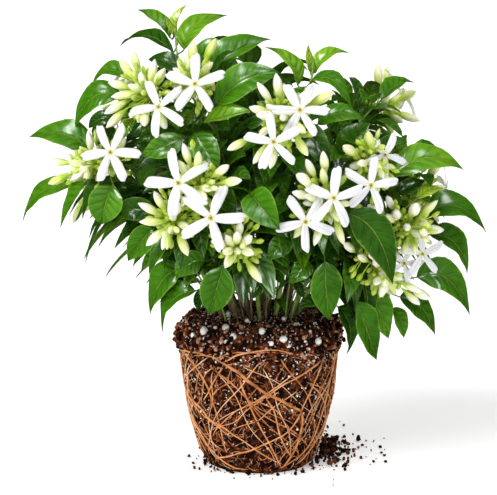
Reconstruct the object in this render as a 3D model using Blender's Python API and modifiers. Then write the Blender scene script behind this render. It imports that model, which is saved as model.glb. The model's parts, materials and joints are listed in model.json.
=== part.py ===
"""Flowering downy jasmine, lifted out of its pot and standing on its bare root ball.

The plant stands on z = 0 with the root ball's axis on the origin, +Z up, and its face
towards -Y. Leaves, flowers, buds and main roots of the face are placed where a photograph
shows them: spot() turns a place in the picture and a distance towards the viewer into a
point of the real plant. The back half grows by rule. Every leaf grows from a stem, every
bud from a flower spray, and whatever would cross a neighbour is bent clear of it.
"""

import math

import bmesh
import bpy
import numpy as np
from mathutils import Matrix, Vector, noise
from mathutils.bvhtree import BVHTree

MM = 0.001
UP = Vector((0, 0, 1))

# The picture: its middle, the size of one pixel at the plant, and the camera
FRAME_MIDDLE_PX = (248.5, 247.5)
PIXEL = 0.70 * MM
CAMERA_DISTANCE = 1.8
CAMERA_LIFT = math.radians(11)
AIM = Vector((-7.7, 0, 153.7)) * MM
SIGHT = Vector((0, -math.cos(CAMERA_LIFT), math.sin(CAMERA_LIFT)))
PICTURE_UP = Vector((0, math.sin(CAMERA_LIFT), math.cos(CAMERA_LIFT)))

# The canopy: its face is a half ellipse in the picture that bulges towards the viewer,
# and the back mirrors it in the round
CANOPY_MIDDLE_PX = (255, 172)
CANOPY_ACROSS_PX = 208
CANOPY_ABOVE_PX = 155
CANOPY_BELOW_PX = 205
CANOPY_BULGE = 118 * MM
CANOPY_CENTRE = Vector((-3, 0, 203)) * MM
CANOPY_RADII = Vector((138, 116, 100)) * MM

# The root ball, shaped by the pot that it came out of: height and radius, foot to crown
BALL_PROFILE = (
    (0.0, 35.5 * MM), (3 * MM, 38.5 * MM), (11 * MM, 41.5 * MM), (22 * MM, 45 * MM),
    (37 * MM, 48.8 * MM), (58 * MM, 52.4 * MM), (80 * MM, 55 * MM), (89 * MM, 57.5 * MM),
    (96 * MM, 57.5 * MM), (102 * MM, 54.5 * MM), (106 * MM, 48 * MM), (107.5 * MM, 30 * MM),
)
SOIL_TOP = 108 * MM
BALL_STEPS = 22
BALL_MARGIN = 2.5 * MM
SOIL_WEAR = 1.2 * MM
HOLE_DEPTH = 12 * MM
HOLE_CLEARANCE = 0.45 * MM
SEAT_GAP = 0.3 * MM
BEAD_RADIUS = 2.7 * MM
BEADS = ((229, 316), (227, 327), (234, 336), (262, 331), (295, 325), (283, 339), (317, 341),
         (205, 331))
BACK_BEADS = 3

# The net of roots that grips the ball. The face's roots run through places in the picture.
ROOT_RADIUS = 0.9 * MM
ROOT_LIFT = 1.6 * MM
ROOT_LOWEST = 3.5 * MM
FACE_ROOTS = (
    ((221, 360), (242, 375), (264, 391), (284, 402), (300, 412), (299, 431), (293, 451),
     (281, 469)),
    ((321, 361), (313, 382), (303, 404), (295, 424)),
    ((215, 459), (242, 453), (266, 443), (287, 431), (300, 412)),
    ((184, 350), (197, 366), (209, 386), (215, 404), (221, 425), (227, 453)),
    ((240, 380), (248, 400), (258, 423), (268, 441), (281, 468)),
    ((323, 358), (303, 372), (282, 385), (262, 398), (242, 408), (227, 419), (213, 436)),
    ((186, 388), (201, 406), (213, 421), (225, 427), (242, 439), (262, 453), (284, 465)),
    ((181, 352), (187, 388), (191, 412), (199, 431), (211, 447), (228, 464), (248, 471)),
    ((335, 352), (329, 376), (323, 404), (315, 429), (303, 451), (278, 471)),
)
RIM_ROOT_HEIGHT = 80 * MM
RIM_ROOT_RISE = 10 * MM
RIM_ROOT_POINTS = 24
BACK_ROOTS = 5
BACK_ROOT_POINTS = 9

# Stems, leaves, buds and flowers
STEM_STRAIGHT = 24 * MM
STEM_SPREAD = 0.5
STEM_FOOT_RADIUS = 1.9 * MM
STEM_RADIUS = 1.6 * MM
STEM_TIP_RADIUS = 0.95 * MM
STEM_PIECES = 5
HUB_DEPTH = 27 * MM
HUB_SHARE = 0.78
STALK_RADIUS = 0.8 * MM
TWIG_RADIUS = 0.6 * MM
BLADE_THICKNESS = 0.7 * MM
LEAF_WIDTH_SHARE = 0.47
LEAF_WIDEST = 23 * MM
LEAF_ARCH = 0.1
LEAF_SWAY = 0.4
FOOT_BEHIND = 0.86
RIM_SPREAD = 46 * MM
LEAF_BENDS = (0, 5, -5, 10, -10, 15, -15, 20, -20, 27, -27, 34)
BUD_BENDS = (0, 4, -4, 8, -8, 12, -12, 17, -17, 22)
BUD_LENGTH = 15.5 * MM
BUD_RADIUS = 3.1 * MM
SMALL_BUD_RADIUS = 1.7 * MM
PETAL_THICKNESS = 0.8 * MM
TUBE_LENGTH = 12 * MM
TUBE_RADIUS = 1.2 * MM
PEDICEL_RADIUS = 0.7 * MM
PEDICEL_KNEE = 4 * MM
CALYX_RADIUS = 1.4 * MM
FLOWER_LEAN = 0.45
CLEARANCE = 0.35 * MM

# Half width of a leaf along its blade, as (share of the length, share of the half width)
BROAD_BLADE = ((0.14, 0.6), (0.42, 1.0), (0.74, 0.64))
PLAIN_BLADE = ((0.34, 1.0), (0.72, 0.7))
BROAD_FROM = 13 * MM

# The face's flower sprays. foot: where the stem stands on the soil, in mm, x and y.
# hub: where the spray branches, in the picture. flowers: x, y, petals, roll in degrees,
# reach in pixels, and how far it stands out in mm. buds and small: the tips of large
# buds and of small green ones.
FACE_SPRAYS = {
    "upper_left": {
        "foot": (-15, -8), "hub": (154, 99),
        "flowers": ((158.5, 107, 5, -24, 29, 4),),
        "buds": ((131, 49), (123, 66), (108, 82), (155, 59), (111, 97), (104, 114), (106, 128)),
        "small": ((148, 67), (133, 101)),
    },
    "top": {
        "foot": (-7, 0), "hub": (197, 88),
        "flowers": ((195, 84, 5, 0, 30, 4),),
        "buds": ((177, 61), (216, 38), (193, 40)),
        "small": ((181, 106), (206, 101)),
    },
    "left": {
        "foot": (-22, -3), "hub": (105, 166),
        "flowers": ((110.5, 152.5, 6, -32, 30, 4),),
        "buds": ((47, 161), (48, 184), (74, 150), (88, 130), (79, 170)),
        "small": ((88, 179), (131, 158)),
    },
    "middle": {
        "foot": (-5, -14), "hub": (203, 186),
        "flowers": ((178.5, 183, 5, -18, 33, 4), (211, 218, 5, 21, 33, 4)),
        "buds": ((183, 143), (229, 165), (242, 180), (199, 151)),
        "small": ((212, 163), (221, 201)),
    },
    "lower_left": {
        "foot": (-14, -16), "hub": (181, 217),
        "flowers": (),
        "buds": ((138, 203), (139, 222), (146, 246), (162, 250), (154, 191), (188, 256)),
        "small": ((166, 229), (187, 239)),
    },
    "bottom": {
        "foot": (1, -21), "hub": (238, 240),
        "flowers": (),
        "buds": ((224, 253), (254, 254), (262, 283), (225, 268), (241, 222)),
        "small": ((240, 272), (228, 229)),
    },
    "upper_right": {
        "foot": (3, -5), "hub": (281, 124),
        "flowers": ((273.5, 142, 5, -7, 28, 6), (300, 110, 6, 27, 28, 0)),
        "buds": ((257, 82), (276, 73), (249, 107), (227, 150), (334, 92), (308, 156), (306, 133)),
        "small": ((265, 100), (309, 88)),
    },
    "right_top": {
        "foot": (14, -1), "hub": (367, 163),
        "flowers": ((370.8, 185.5, 5, 8, 28, 6), (385, 155, 5, 32, 23, -13)),
        "buds": ((343, 146), (368, 131), (389, 188)),
        "small": ((353, 155), (372, 206)),
    },
    "right_middle": {
        "foot": (9, -13), "hub": (322, 200),
        "flowers": ((333.8, 198, 5, 4, 30, 8), (305.6, 222, 5, -34, 29, 1)),
        "buds": ((306, 159), (323, 151), (296, 174), (292, 192), (344, 245), (314, 246)),
        "small": ((312, 178), (338, 171)),
    },
    "right_low": {
        "foot": (22, -6), "hub": (401, 225),
        "flowers": ((422.5, 254, 5, -5, 25, 4),),
        "buds": ((438, 200), (415, 203), (444, 230), (421, 237), (427, 220)),
        "small": ((440, 212), (396, 205)),
    },
    "low_right": {
        "foot": (18, -14), "hub": (375, 266),
        "flowers": ((404, 263, 5, 20, 22, -6),),
        "buds": ((409, 285), (420, 305), (431, 299), (387, 293), (344, 243), (358, 255)),
        "small": ((395, 295), (365, 285)),
    },
}

# Shoots of young leaves that branch off a stem. Its stem, the place in the picture and
# the distance towards the viewer, in mm, of the shoot's middle and of its tip
YOUNG_SHOOTS = (
    ("top", (184, 80, 40), (175, 28, 12)),
    ("upper_right", (305, 100, 50), (313, 62, 25)),
)

# The face's leaves: foot, middle of the midrib and tip in the picture, the width seen
# there in pixels, and how far out the leaf lies, as a share of the canopy's bulge
FACE_LEAVES = (
    ((170, 37), (155, 20), (137.5, 9.5), 12, 0.45),
    ((173, 52), (146, 35), (120, 42), 13, 0.5),
    ((184, 49), (196, 25), (227, 15), 19, 0.45),
    ((176, 31), (178, 18), (184.5, 4.5), 8, 0.4),
    ((174, 35), (169, 26), (168, 16), 5, 0.5),
    ((184, 73), (165, 61), (148, 58.5), 17, 0.65),
    ((196, 68), (209, 48), (228, 48), 15, 0.6),
    ((209, 70), (238, 50), (270.5, 38.5), 25, 0.7),
    ((217, 104), (245, 80), (279.5, 71.5), 30, 0.85),
    ((204, 122), (227, 116), (250, 108), 14, 0.85),
    ((130, 80), (109, 70), (90.5, 83.5), 13, 0.8),
    ((120, 96), (93, 97), (73.5, 126), 23, 0.85),
    ((114, 118), (99, 119), (88, 128), 13, 0.8),
    ((90, 151), (63, 134), (28.5, 136), 27, 0.85),
    ((72, 186), (41, 192), (19.5, 219), 16, 1.0),
    ((85, 183), (73, 201), (57, 226), 13, 0.9),
    ((112, 186), (105, 205), (101, 225), 32, 1.08),
    ((156, 214), (133, 209), (112, 217), 22, 0.78),
    ((184, 139), (162, 147), (141, 156), 22, 0.9),
    ((140, 184), (148, 173), (158, 169), 15, 0.7),
    ((194, 133), (206, 151), (219, 170), 27, 0.88),
    ((298, 85), (291, 62), (266, 45.5), 14, 0.5),
    ((310.5, 72), (308.5, 58), (308.5, 44.5), 7, 0.3),
    ((313, 73), (315, 65), (318, 56), 5, 0.3),
    ((315.5, 72), (328, 55), (348, 50.5), 12, 0.4),
    ((308, 85), (331, 79), (352, 106), 15, 0.6),
    ((318, 124), (340, 113), (366, 120), 18, 0.8),
    ((341, 153), (353, 137), (370, 123), 24, 0.7),
    ((300, 128), (315, 142), (330, 169), 24, 0.75),
    ((392, 176), (428, 157), (465, 167), 26, 0.9),
    ((397, 192), (410, 187), (426, 179), 14, 0.7),
    ((417, 198), (429, 190), (443, 186.5), 10, 1.0),
    ((426, 215), (457, 206), (487.5, 231), 23, 1.0),
    ((250, 193), (262, 208), (280, 230), 30, 1.04),
    ((349, 214), (377, 236), (394, 286), 35, 1.15),
    ((430, 235), (455, 243), (468.5, 273), 20, 0.85),
    ((417, 277), (446, 278), (470.5, 315), 30, 1.0),
    ((400, 297), (422, 308), (438.5, 334), 22, 1.05),
    ((357, 302), (367, 330), (378.5, 360.5), 24, 1.05),
    ((366, 287), (379, 311), (390, 339), 24, 0.85),
    ((393, 308), (401, 322), (404, 338), 14, 0.85),
    ((338, 307), (350, 327), (349.5, 355), 18, 0.85),
    ((325, 262), (326, 290), (329, 320.5), 30, 1.0),
    ((291, 239), (279, 247), (268.5, 261), 20, 0.85),
    ((310, 262), (301, 271), (289, 284), 18, 0.8),
    ((326, 297), (312, 301), (297, 306), 12, 0.85),
    ((153, 229), (141, 241), (127, 262), 24, 0.9),
    ((171, 250), (153, 255), (140.5, 270), 15, 0.85),
    ((181, 268), (160, 283), (147, 314), 25, 1.0),
    ((195, 291), (171, 302), (161.5, 332), 15, 1.0),
    ((203, 261), (188, 264), (176, 279), 22, 0.9),
    ((223, 267), (216, 291), (209.5, 315), 31, 1.08),
    ((206, 290), (199, 300), (199, 312), 10, 0.95),
    ((236, 196), (243, 213), (236, 232), 20, 0.75),
)

# The stems of the back: the foot on the soil in mm, the bearing of the hub in degrees,
# where 90 is straight back, its height in degrees above the canopy's middle, and flowers
BACK_STEMS = {
    "crown": ((1, 9), 84, 66, 0),
    "back_high_right": ((13, 7), 26, 31, 1),
    "back_high": ((5, 17), 93, 26, 1),
    "back_high_left": ((-11, 9), 155, 33, 1),
    "back_right": ((24, 4), 4, -8, 1),
    "back_low_right": ((15, 17), 58, -12, 1),
    "back_low_left": ((-9, 20), 122, -10, 1),
    "back_left": ((-22, 9), 173, -6, 0),
}
BACK_BUDS = 6
BACK_SMALL_BUDS = 1
BACK_FLOWER_REACH = 20 * MM
FAN_TILT = math.radians(52)
BACK_PAIRS = (0.42, 0.64, 0.86)
CROWN_PAIRS = (0.4, 0.6, 0.8, 0.97)
INNER_PAIRS = (0.5,)
PAIR_LEAF = 44 * MM
INNER_LEAF = 36 * MM
PAIR_SWINGS = (0, 0.35, -0.35, 0.7, -0.7, 1.05, -1.05, 1.4, -1.4)
PAIR_TWIGS = (9 * MM, 16 * MM)


def spot(x_px, y_px, toward):
    """The point seen at a place in the picture, at a distance towards the viewer."""
    eye = AIM + SIGHT * CAMERA_DISTANCE
    aside = (x_px - FRAME_MIDDLE_PX[0]) * PIXEL
    above = (FRAME_MIDDLE_PX[1] - y_px) * PIXEL
    ray = Vector((aside, 0, 0)) + PICTURE_UP * above - SIGHT * CAMERA_DISTANCE
    return eye + ray * ((-toward - eye.y) / ray.y)


def bulge(x_px, y_px):
    """How far the canopy's face lies towards the viewer at a place in the picture."""
    across = (x_px - CANOPY_MIDDLE_PX[0]) / CANOPY_ACROSS_PX
    down = y_px - CANOPY_MIDDLE_PX[1]
    down /= CANOPY_BELOW_PX if down > 0 else CANOPY_ABOVE_PX
    return CANOPY_BULGE * math.sqrt(max(0.0, 1 - across * across - down * down))


def in_canopy(bearing, elevation, share):
    """A point of the canopy in the round, at a share of its radius."""
    flat = math.cos(elevation)
    way = Vector((flat * math.cos(bearing), flat * math.sin(bearing), math.sin(elevation)))
    return CANOPY_CENTRE + way * CANOPY_RADII * share


def ball_radius(height):
    """The root ball's radius at a height."""
    heights, radii = zip(*BALL_PROFILE)
    return float(np.interp(height, heights, radii, right=0.0))


def on_ball(x_px, y_px, lift):
    """The point seen at a place in the picture on the root ball, lifted off its surface."""
    best, least = None, math.inf
    for step in range(120):
        place = spot(x_px, y_px, (62 - step) * MM)
        excess = place.xy.length - ball_radius(place.z)
        if excess < least:
            best, least = place, excess
        if excess <= 0:
            break
    return hugging(best, lift)


def hugging(place, lift):
    """The place, brought level with the root ball's surface and lifted off it."""
    height = max(place.z, ROOT_LOWEST)
    out = place.xy.normalized() * (ball_radius(height) + lift)
    return Vector((out.x, out.y, height))


def within(value, low, high):
    """value, kept between low and high."""
    return max(low, min(high, value))


def square_to(vector, axis):
    """The part of vector that is square to axis, as a unit vector."""
    return (vector - axis * vector.dot(axis)).normalized()


def through(start, middle, end, share):
    """A point on the parabola from start to end that passes through middle."""
    pull = middle * 2 - (start + end) / 2
    rest = 1 - share
    return start * rest * rest + pull * 2 * rest * share + end * share * share


def cubic(points, share):
    """A point on a cubic Bezier curve."""
    start, first, second, end = points
    rest = 1 - share
    return (
        start * rest**3 + first * 3 * rest * rest * share
        + second * 3 * rest * share * share + end * share**3
    )


def smooth_path(points, count):
    """So many points along a Catmull-Rom curve through the given ones."""
    padded = [points[0] * 2 - points[1], *points, points[-1] * 2 - points[-2]]
    path = []
    for place in np.linspace(0, len(points) - 1, count):
        number = min(int(place), len(points) - 2)
        before, start, end, after = padded[number:number + 4]
        pulls = (start, start + (end - before) / 6, end - (after - start) / 6, end)
        path.append(cubic(pulls, place - number))
    return path


def ring(centre, axis, radius, sides, first=None):
    """A regular ring of points round an axis, counted from a direction square to it."""
    first = first or axis.orthogonal().normalized()
    second = axis.cross(first)
    turns = (2 * math.pi * k / sides for k in range(sides))
    return [centre + (first * math.cos(a) + second * math.sin(a)) * radius for a in turns]


def box_ring(centre, side, normal, half_width, half_depth):
    """The four corners of a flat section."""
    corners = ((1, 1), (-1, 1), (-1, -1), (1, -1))
    return [centre + side * half_width * a + normal * half_depth * b for a, b in corners]


def loft(rings):
    """Vertices and faces of the closed skin over unlike sections; one point is a tip."""
    points = [point for one in rings for point in one]
    faces = [tuple(range(len(rings[0])))[::-1]]
    start = 0
    for low, high in zip(rings, rings[1:]):
        count, above = len(low), start + len(low)
        for k in range(count):
            after = (k + 1) % count
            if len(high) == 1:
                faces.append((start + k, start + after, above))
            else:
                faces.append((start + k, start + after, above + after, above + k))
        start = above
    if len(rings[-1]) > 1:
        faces.append(tuple(range(start, start + len(rings[-1]))))
    return points, faces


def sleeve(path, radii, margin):
    """A closed skin that keeps a margin round a tube, for finding out what it would cross."""
    corners = [path[0] * 2 - path[1], *path, path[-1] * 2 - path[-2]]
    rows = []
    for before, here, after, radius in zip(corners, path, corners[2:], radii):
        rows.append(ring(here, (after - before).normalized(), radius + margin, 6))
    return loft(rows)


class Stem:
    """A stem from its hole in the soil to its spray: straight at first, then a curve."""

    def __init__(self, name, foot, hub):
        self.name, self.hub = name, hub
        base = Vector((foot[0] * MM, foot[1] * MM, SOIL_TOP - HOLE_DEPTH + SEAT_GAP))
        lean = (hub - base) * STEM_SPREAD
        self.rise = Vector((lean.x, lean.y, 95 * MM)).normalized()
        self.outward = (hub - CANOPY_CENTRE).normalized()
        bend, end = base + self.rise * STEM_STRAIGHT, hub - self.outward * 6 * MM
        reach = (end - bend).length
        pulls = (bend, bend + self.rise * reach * 0.38, end - self.outward * reach * 0.32, end)
        self.path = [base] + [cubic(pulls, k / STEM_PIECES) for k in range(STEM_PIECES + 1)]
        narrowing = np.linspace(STEM_RADIUS, STEM_TIP_RADIUS, STEM_PIECES + 1)
        self.radii = [STEM_FOOT_RADIUS, *narrowing.tolist()]

    def piece(self, share):
        """The straight piece that a share of the curved stretch falls in, and where in it."""
        place = within(share, 0, 0.999) * STEM_PIECES
        number = int(place)
        return self.path[1 + number], self.path[2 + number], place - number

    def at(self, share):
        low, high, part = self.piece(share)
        return low.lerp(high, part)

    def along(self, share):
        low, high, _ = self.piece(share)
        return (high - low).normalized()

    def stalk(self):
        """The spray's own stalk, which stands on the stem's end and runs on past the hub."""
        return [self.path[-1] + self.along(1) * SEAT_GAP, self.hub + self.outward * 5 * MM]

    def on_stalk(self, share):
        return self.hub + self.outward * (9 * share - 4) * MM


class Leaf:
    """A blade on its petiole: foot, middle of the midrib, tip, face direction and width."""

    def __init__(self, foot, middle, tip, normal, width, blade):
        self.foot, self.middle, self.tip = foot, middle, tip
        self.normal, self.width, self.blade = normal, width, blade
        self.stem, self.root = None, None

    def moved(self, foot_by, tip_by):
        """The same leaf bent in depth, its foot and its tip each by a vector."""
        half = (foot_by + tip_by) / 2
        return Leaf(self.foot + foot_by, self.middle + half, self.tip + tip_by,
                    self.normal, self.width, self.blade)

    def at(self, share):
        return through(self.foot, self.middle, self.tip, share)

    def frame(self, share):
        """The side and the upper normal of the blade there."""
        along = (self.at(min(1, share + 0.05)) - self.at(max(0, share - 0.05))).normalized()
        normal = square_to(self.normal, along)
        return along.cross(normal), normal

    def rings(self, margin=0.0):
        """Sections from the root inside the stem, along the petiole and over the blade."""
        twig = (self.foot - self.root).normalized()
        knee = (twig + (self.at(0.05) - self.foot).normalized()).normalized()
        side = square_to(self.frame(0.0)[0], knee)
        root_side = square_to(side, twig)
        wide, deep = TWIG_RADIUS + margin, BLADE_THICKNESS / 2 + margin
        rows = [
            box_ring(self.root, root_side, root_side.cross(twig), wide, wide),
            box_ring(self.foot, side, side.cross(knee), wide, wide),
        ]
        for share, part in self.blade:
            half_width = part * self.width / 2 + margin
            rows.append(box_ring(self.at(share), *self.frame(share), half_width, deep))
        return rows + [[self.tip]]


class Bud:
    """A bud on its pedicel: the root on the stalk, then a spindle that ends in a point."""

    def __init__(self, root, tip, large):
        self.root, self.tip, self.large = root, tip, large

    def rings(self, margin=0.0):
        axis = (self.tip - self.root).normalized()
        if not self.large:
            belly = self.tip - axis * 1.9 * MM
            return [
                ring(self.root, axis, 0.5 * MM + margin, 3),
                ring(belly, axis, SMALL_BUD_RADIUS + margin, 3),
                [self.tip],
            ]
        length = min(BUD_LENGTH, (self.tip - self.root).length * 0.72)
        return [
            ring(self.root, axis, 0.55 * MM + margin, 4),
            ring(self.tip - axis * length, axis, 1.0 * MM + margin, 4),
            ring(self.tip - axis * length * 0.5, axis, BUD_RADIUS + margin, 4),
            [self.tip],
        ]


class Flower:
    """An open flower: five or six petals spread square to its tube."""

    def __init__(self, name, centre, facing, petals, roll, reach):
        self.name, self.centre, self.facing = name, centre, facing
        self.petals, self.roll, self.reach = petals, roll, reach
        self.up = square_to(PICTURE_UP, facing)
        self.right = self.up.cross(facing)
        self.calyx = centre - facing * TUBE_LENGTH
        self.stem = None

    def place(self, angle, out, aside, lift):
        """A point of the face: turned clockwise from the top, out along that petal."""
        along = self.up * math.cos(angle) + self.right * math.sin(angle)
        across = self.facing.cross(along)
        return self.centre + (along * out + across * aside + self.facing * lift) * self.reach

    def star(self):
        """The open sheet of the petals: a small middle and one oblong strip a petal."""
        count = self.petals
        step = 2 * math.pi / count
        wide = 0.95 / count
        angles = [self.roll + step * k for k in range(count)]
        points = [self.place(angle - step / 2, 0.12, 0, 0) for angle in angles]
        faces = [tuple(range(count))]
        for k, angle in enumerate(angles):
            start, after = len(points), (k + 1) % count
            points += [
                self.place(angle, 0.6, wide, 0.03), self.place(angle, 0.6, -wide, 0.03),
                self.place(angle, 0.93, -wide * 0.75, -0.04), self.place(angle, 1.0, wide * 0.4, -0.06),
            ]
            faces += [
                (k, after, start + 1, start),
                (start, start + 1, start + 2, start + 3),
            ]
        return points, faces

    def slab(self):
        """The star's two sides, for finding out what it would cross."""
        points, faces = self.star()
        count = len(points)
        back = [point - self.facing * PETAL_THICKNESS for point in points]
        return points + back, faces + [tuple(k + count for k in face) for face in faces]

    def tube(self):
        return [self.calyx, self.centre - self.facing * PETAL_THICKNESS / 2]

    def pedicel(self, margin=0.0):
        """Sections of the pedicel, which bends into line with the tube just under it."""
        root, seat = self.stem.on_stalk(0.15), self.calyx - self.facing * SEAT_GAP
        knee = seat - self.facing * PEDICEL_KNEE
        run = (knee - root).normalized()
        hinge = run.cross(self.facing)
        hinge = hinge.normalized() if hinge.length > 0.01 else run.orthogonal().normalized()
        rows = [ring(root, run, PEDICEL_RADIUS + margin, 4, hinge)]
        if run.dot(self.facing) < 0.7:
            middle = (run + self.facing).normalized()
            rows.append(ring(knee, middle, PEDICEL_RADIUS + margin, 4, hinge))
        return rows + [ring(seat, self.facing, CALYX_RADIUS + margin, 4, hinge)]


def leaf_from_picture(row, draw):
    """A leaf of the face: its blade is rolled until it looks as wide as the picture shows."""
    foot_px, middle_px, tip_px, seen_px, share = row
    run = math.dist(foot_px, tip_px) * PIXEL
    rim = 1 - bulge(*middle_px) / CANOPY_BULGE
    shift = (draw.random() - 0.5) * RIM_SPREAD * rim
    foot_toward = bulge(*foot_px) * share * FOOT_BEHIND + shift
    sway = bulge(*tip_px) * share + shift - foot_toward
    sway = within(sway, -LEAF_SWAY * run, LEAF_SWAY * run)
    foot = spot(*foot_px, foot_toward)
    middle = spot(*middle_px, foot_toward + sway / 2 + LEAF_ARCH * run)
    tip = spot(*tip_px, foot_toward + sway)
    along = (tip - foot).normalized()
    length = (middle - foot).length + (tip - middle).length
    width = max(seen_px * PIXEL, min(length * LEAF_WIDTH_SHARE, LEAF_WIDEST))
    seen = within(seen_px * PIXEL / width, 0.2, 1.0)
    open_face = square_to(SIGHT, along)
    edge_face = along.cross(open_face)
    if edge_face.z < 0:
        edge_face.negate()
    normal = open_face * seen + edge_face * math.sqrt(1 - seen * seen)
    blade = BROAD_BLADE if seen_px * PIXEL > BROAD_FROM else PLAIN_BLADE
    return Leaf(foot, middle, tip, normal, width, blade)


def pair_leaf(stem, share, side, turn, length, twig):
    """One leaf of an opposite pair on a stem: it leaves sideways, spreads out and droops."""
    along = stem.along(share)
    across = square_to(Matrix.Rotation(turn, 3, along) @ Vector((0.2, 0.1, 1)), along) * side
    heading = (across * 0.85 + stem.outward * 0.5 + UP * 0.15).normalized()
    root = stem.at(share)
    foot = root + heading * twig
    tip = foot + heading * length - UP * 0.25 * length
    middle = (foot + tip) / 2 + UP * 0.14 * length
    normal = square_to(UP + stem.outward * 0.6, (tip - foot).normalized())
    leaf = Leaf(foot, middle, tip, normal, length * LEAF_WIDTH_SHARE, PLAIN_BLADE)
    leaf.stem, leaf.root = stem, root
    return leaf


class Placed:
    """What stands in place so far. A new piece is tried against all of it."""

    def __init__(self):
        self.pieces = []

    def add(self, owner, points, faces):
        low, high = self.box(points)
        self.pieces.append((owner, low, high, BVHTree.FromPolygons(points, faces)))

    @staticmethod
    def box(points):
        places = np.array([tuple(point) for point in points])
        return places.min(axis=0), places.max(axis=0)

    def is_clear(self, points, faces, allowed=()):
        """Whether a piece crosses nothing, apart from what it is allowed to cross."""
        low, high = self.box(points)
        tree = None
        for owner, other_low, other_high, other in self.pieces:
            if owner in allowed or (low > other_high).any() or (high < other_low).any():
                continue
            tree = tree or BVHTree.FromPolygons(points, faces)
            if tree.overlap(other):
                return False
        return True


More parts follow.
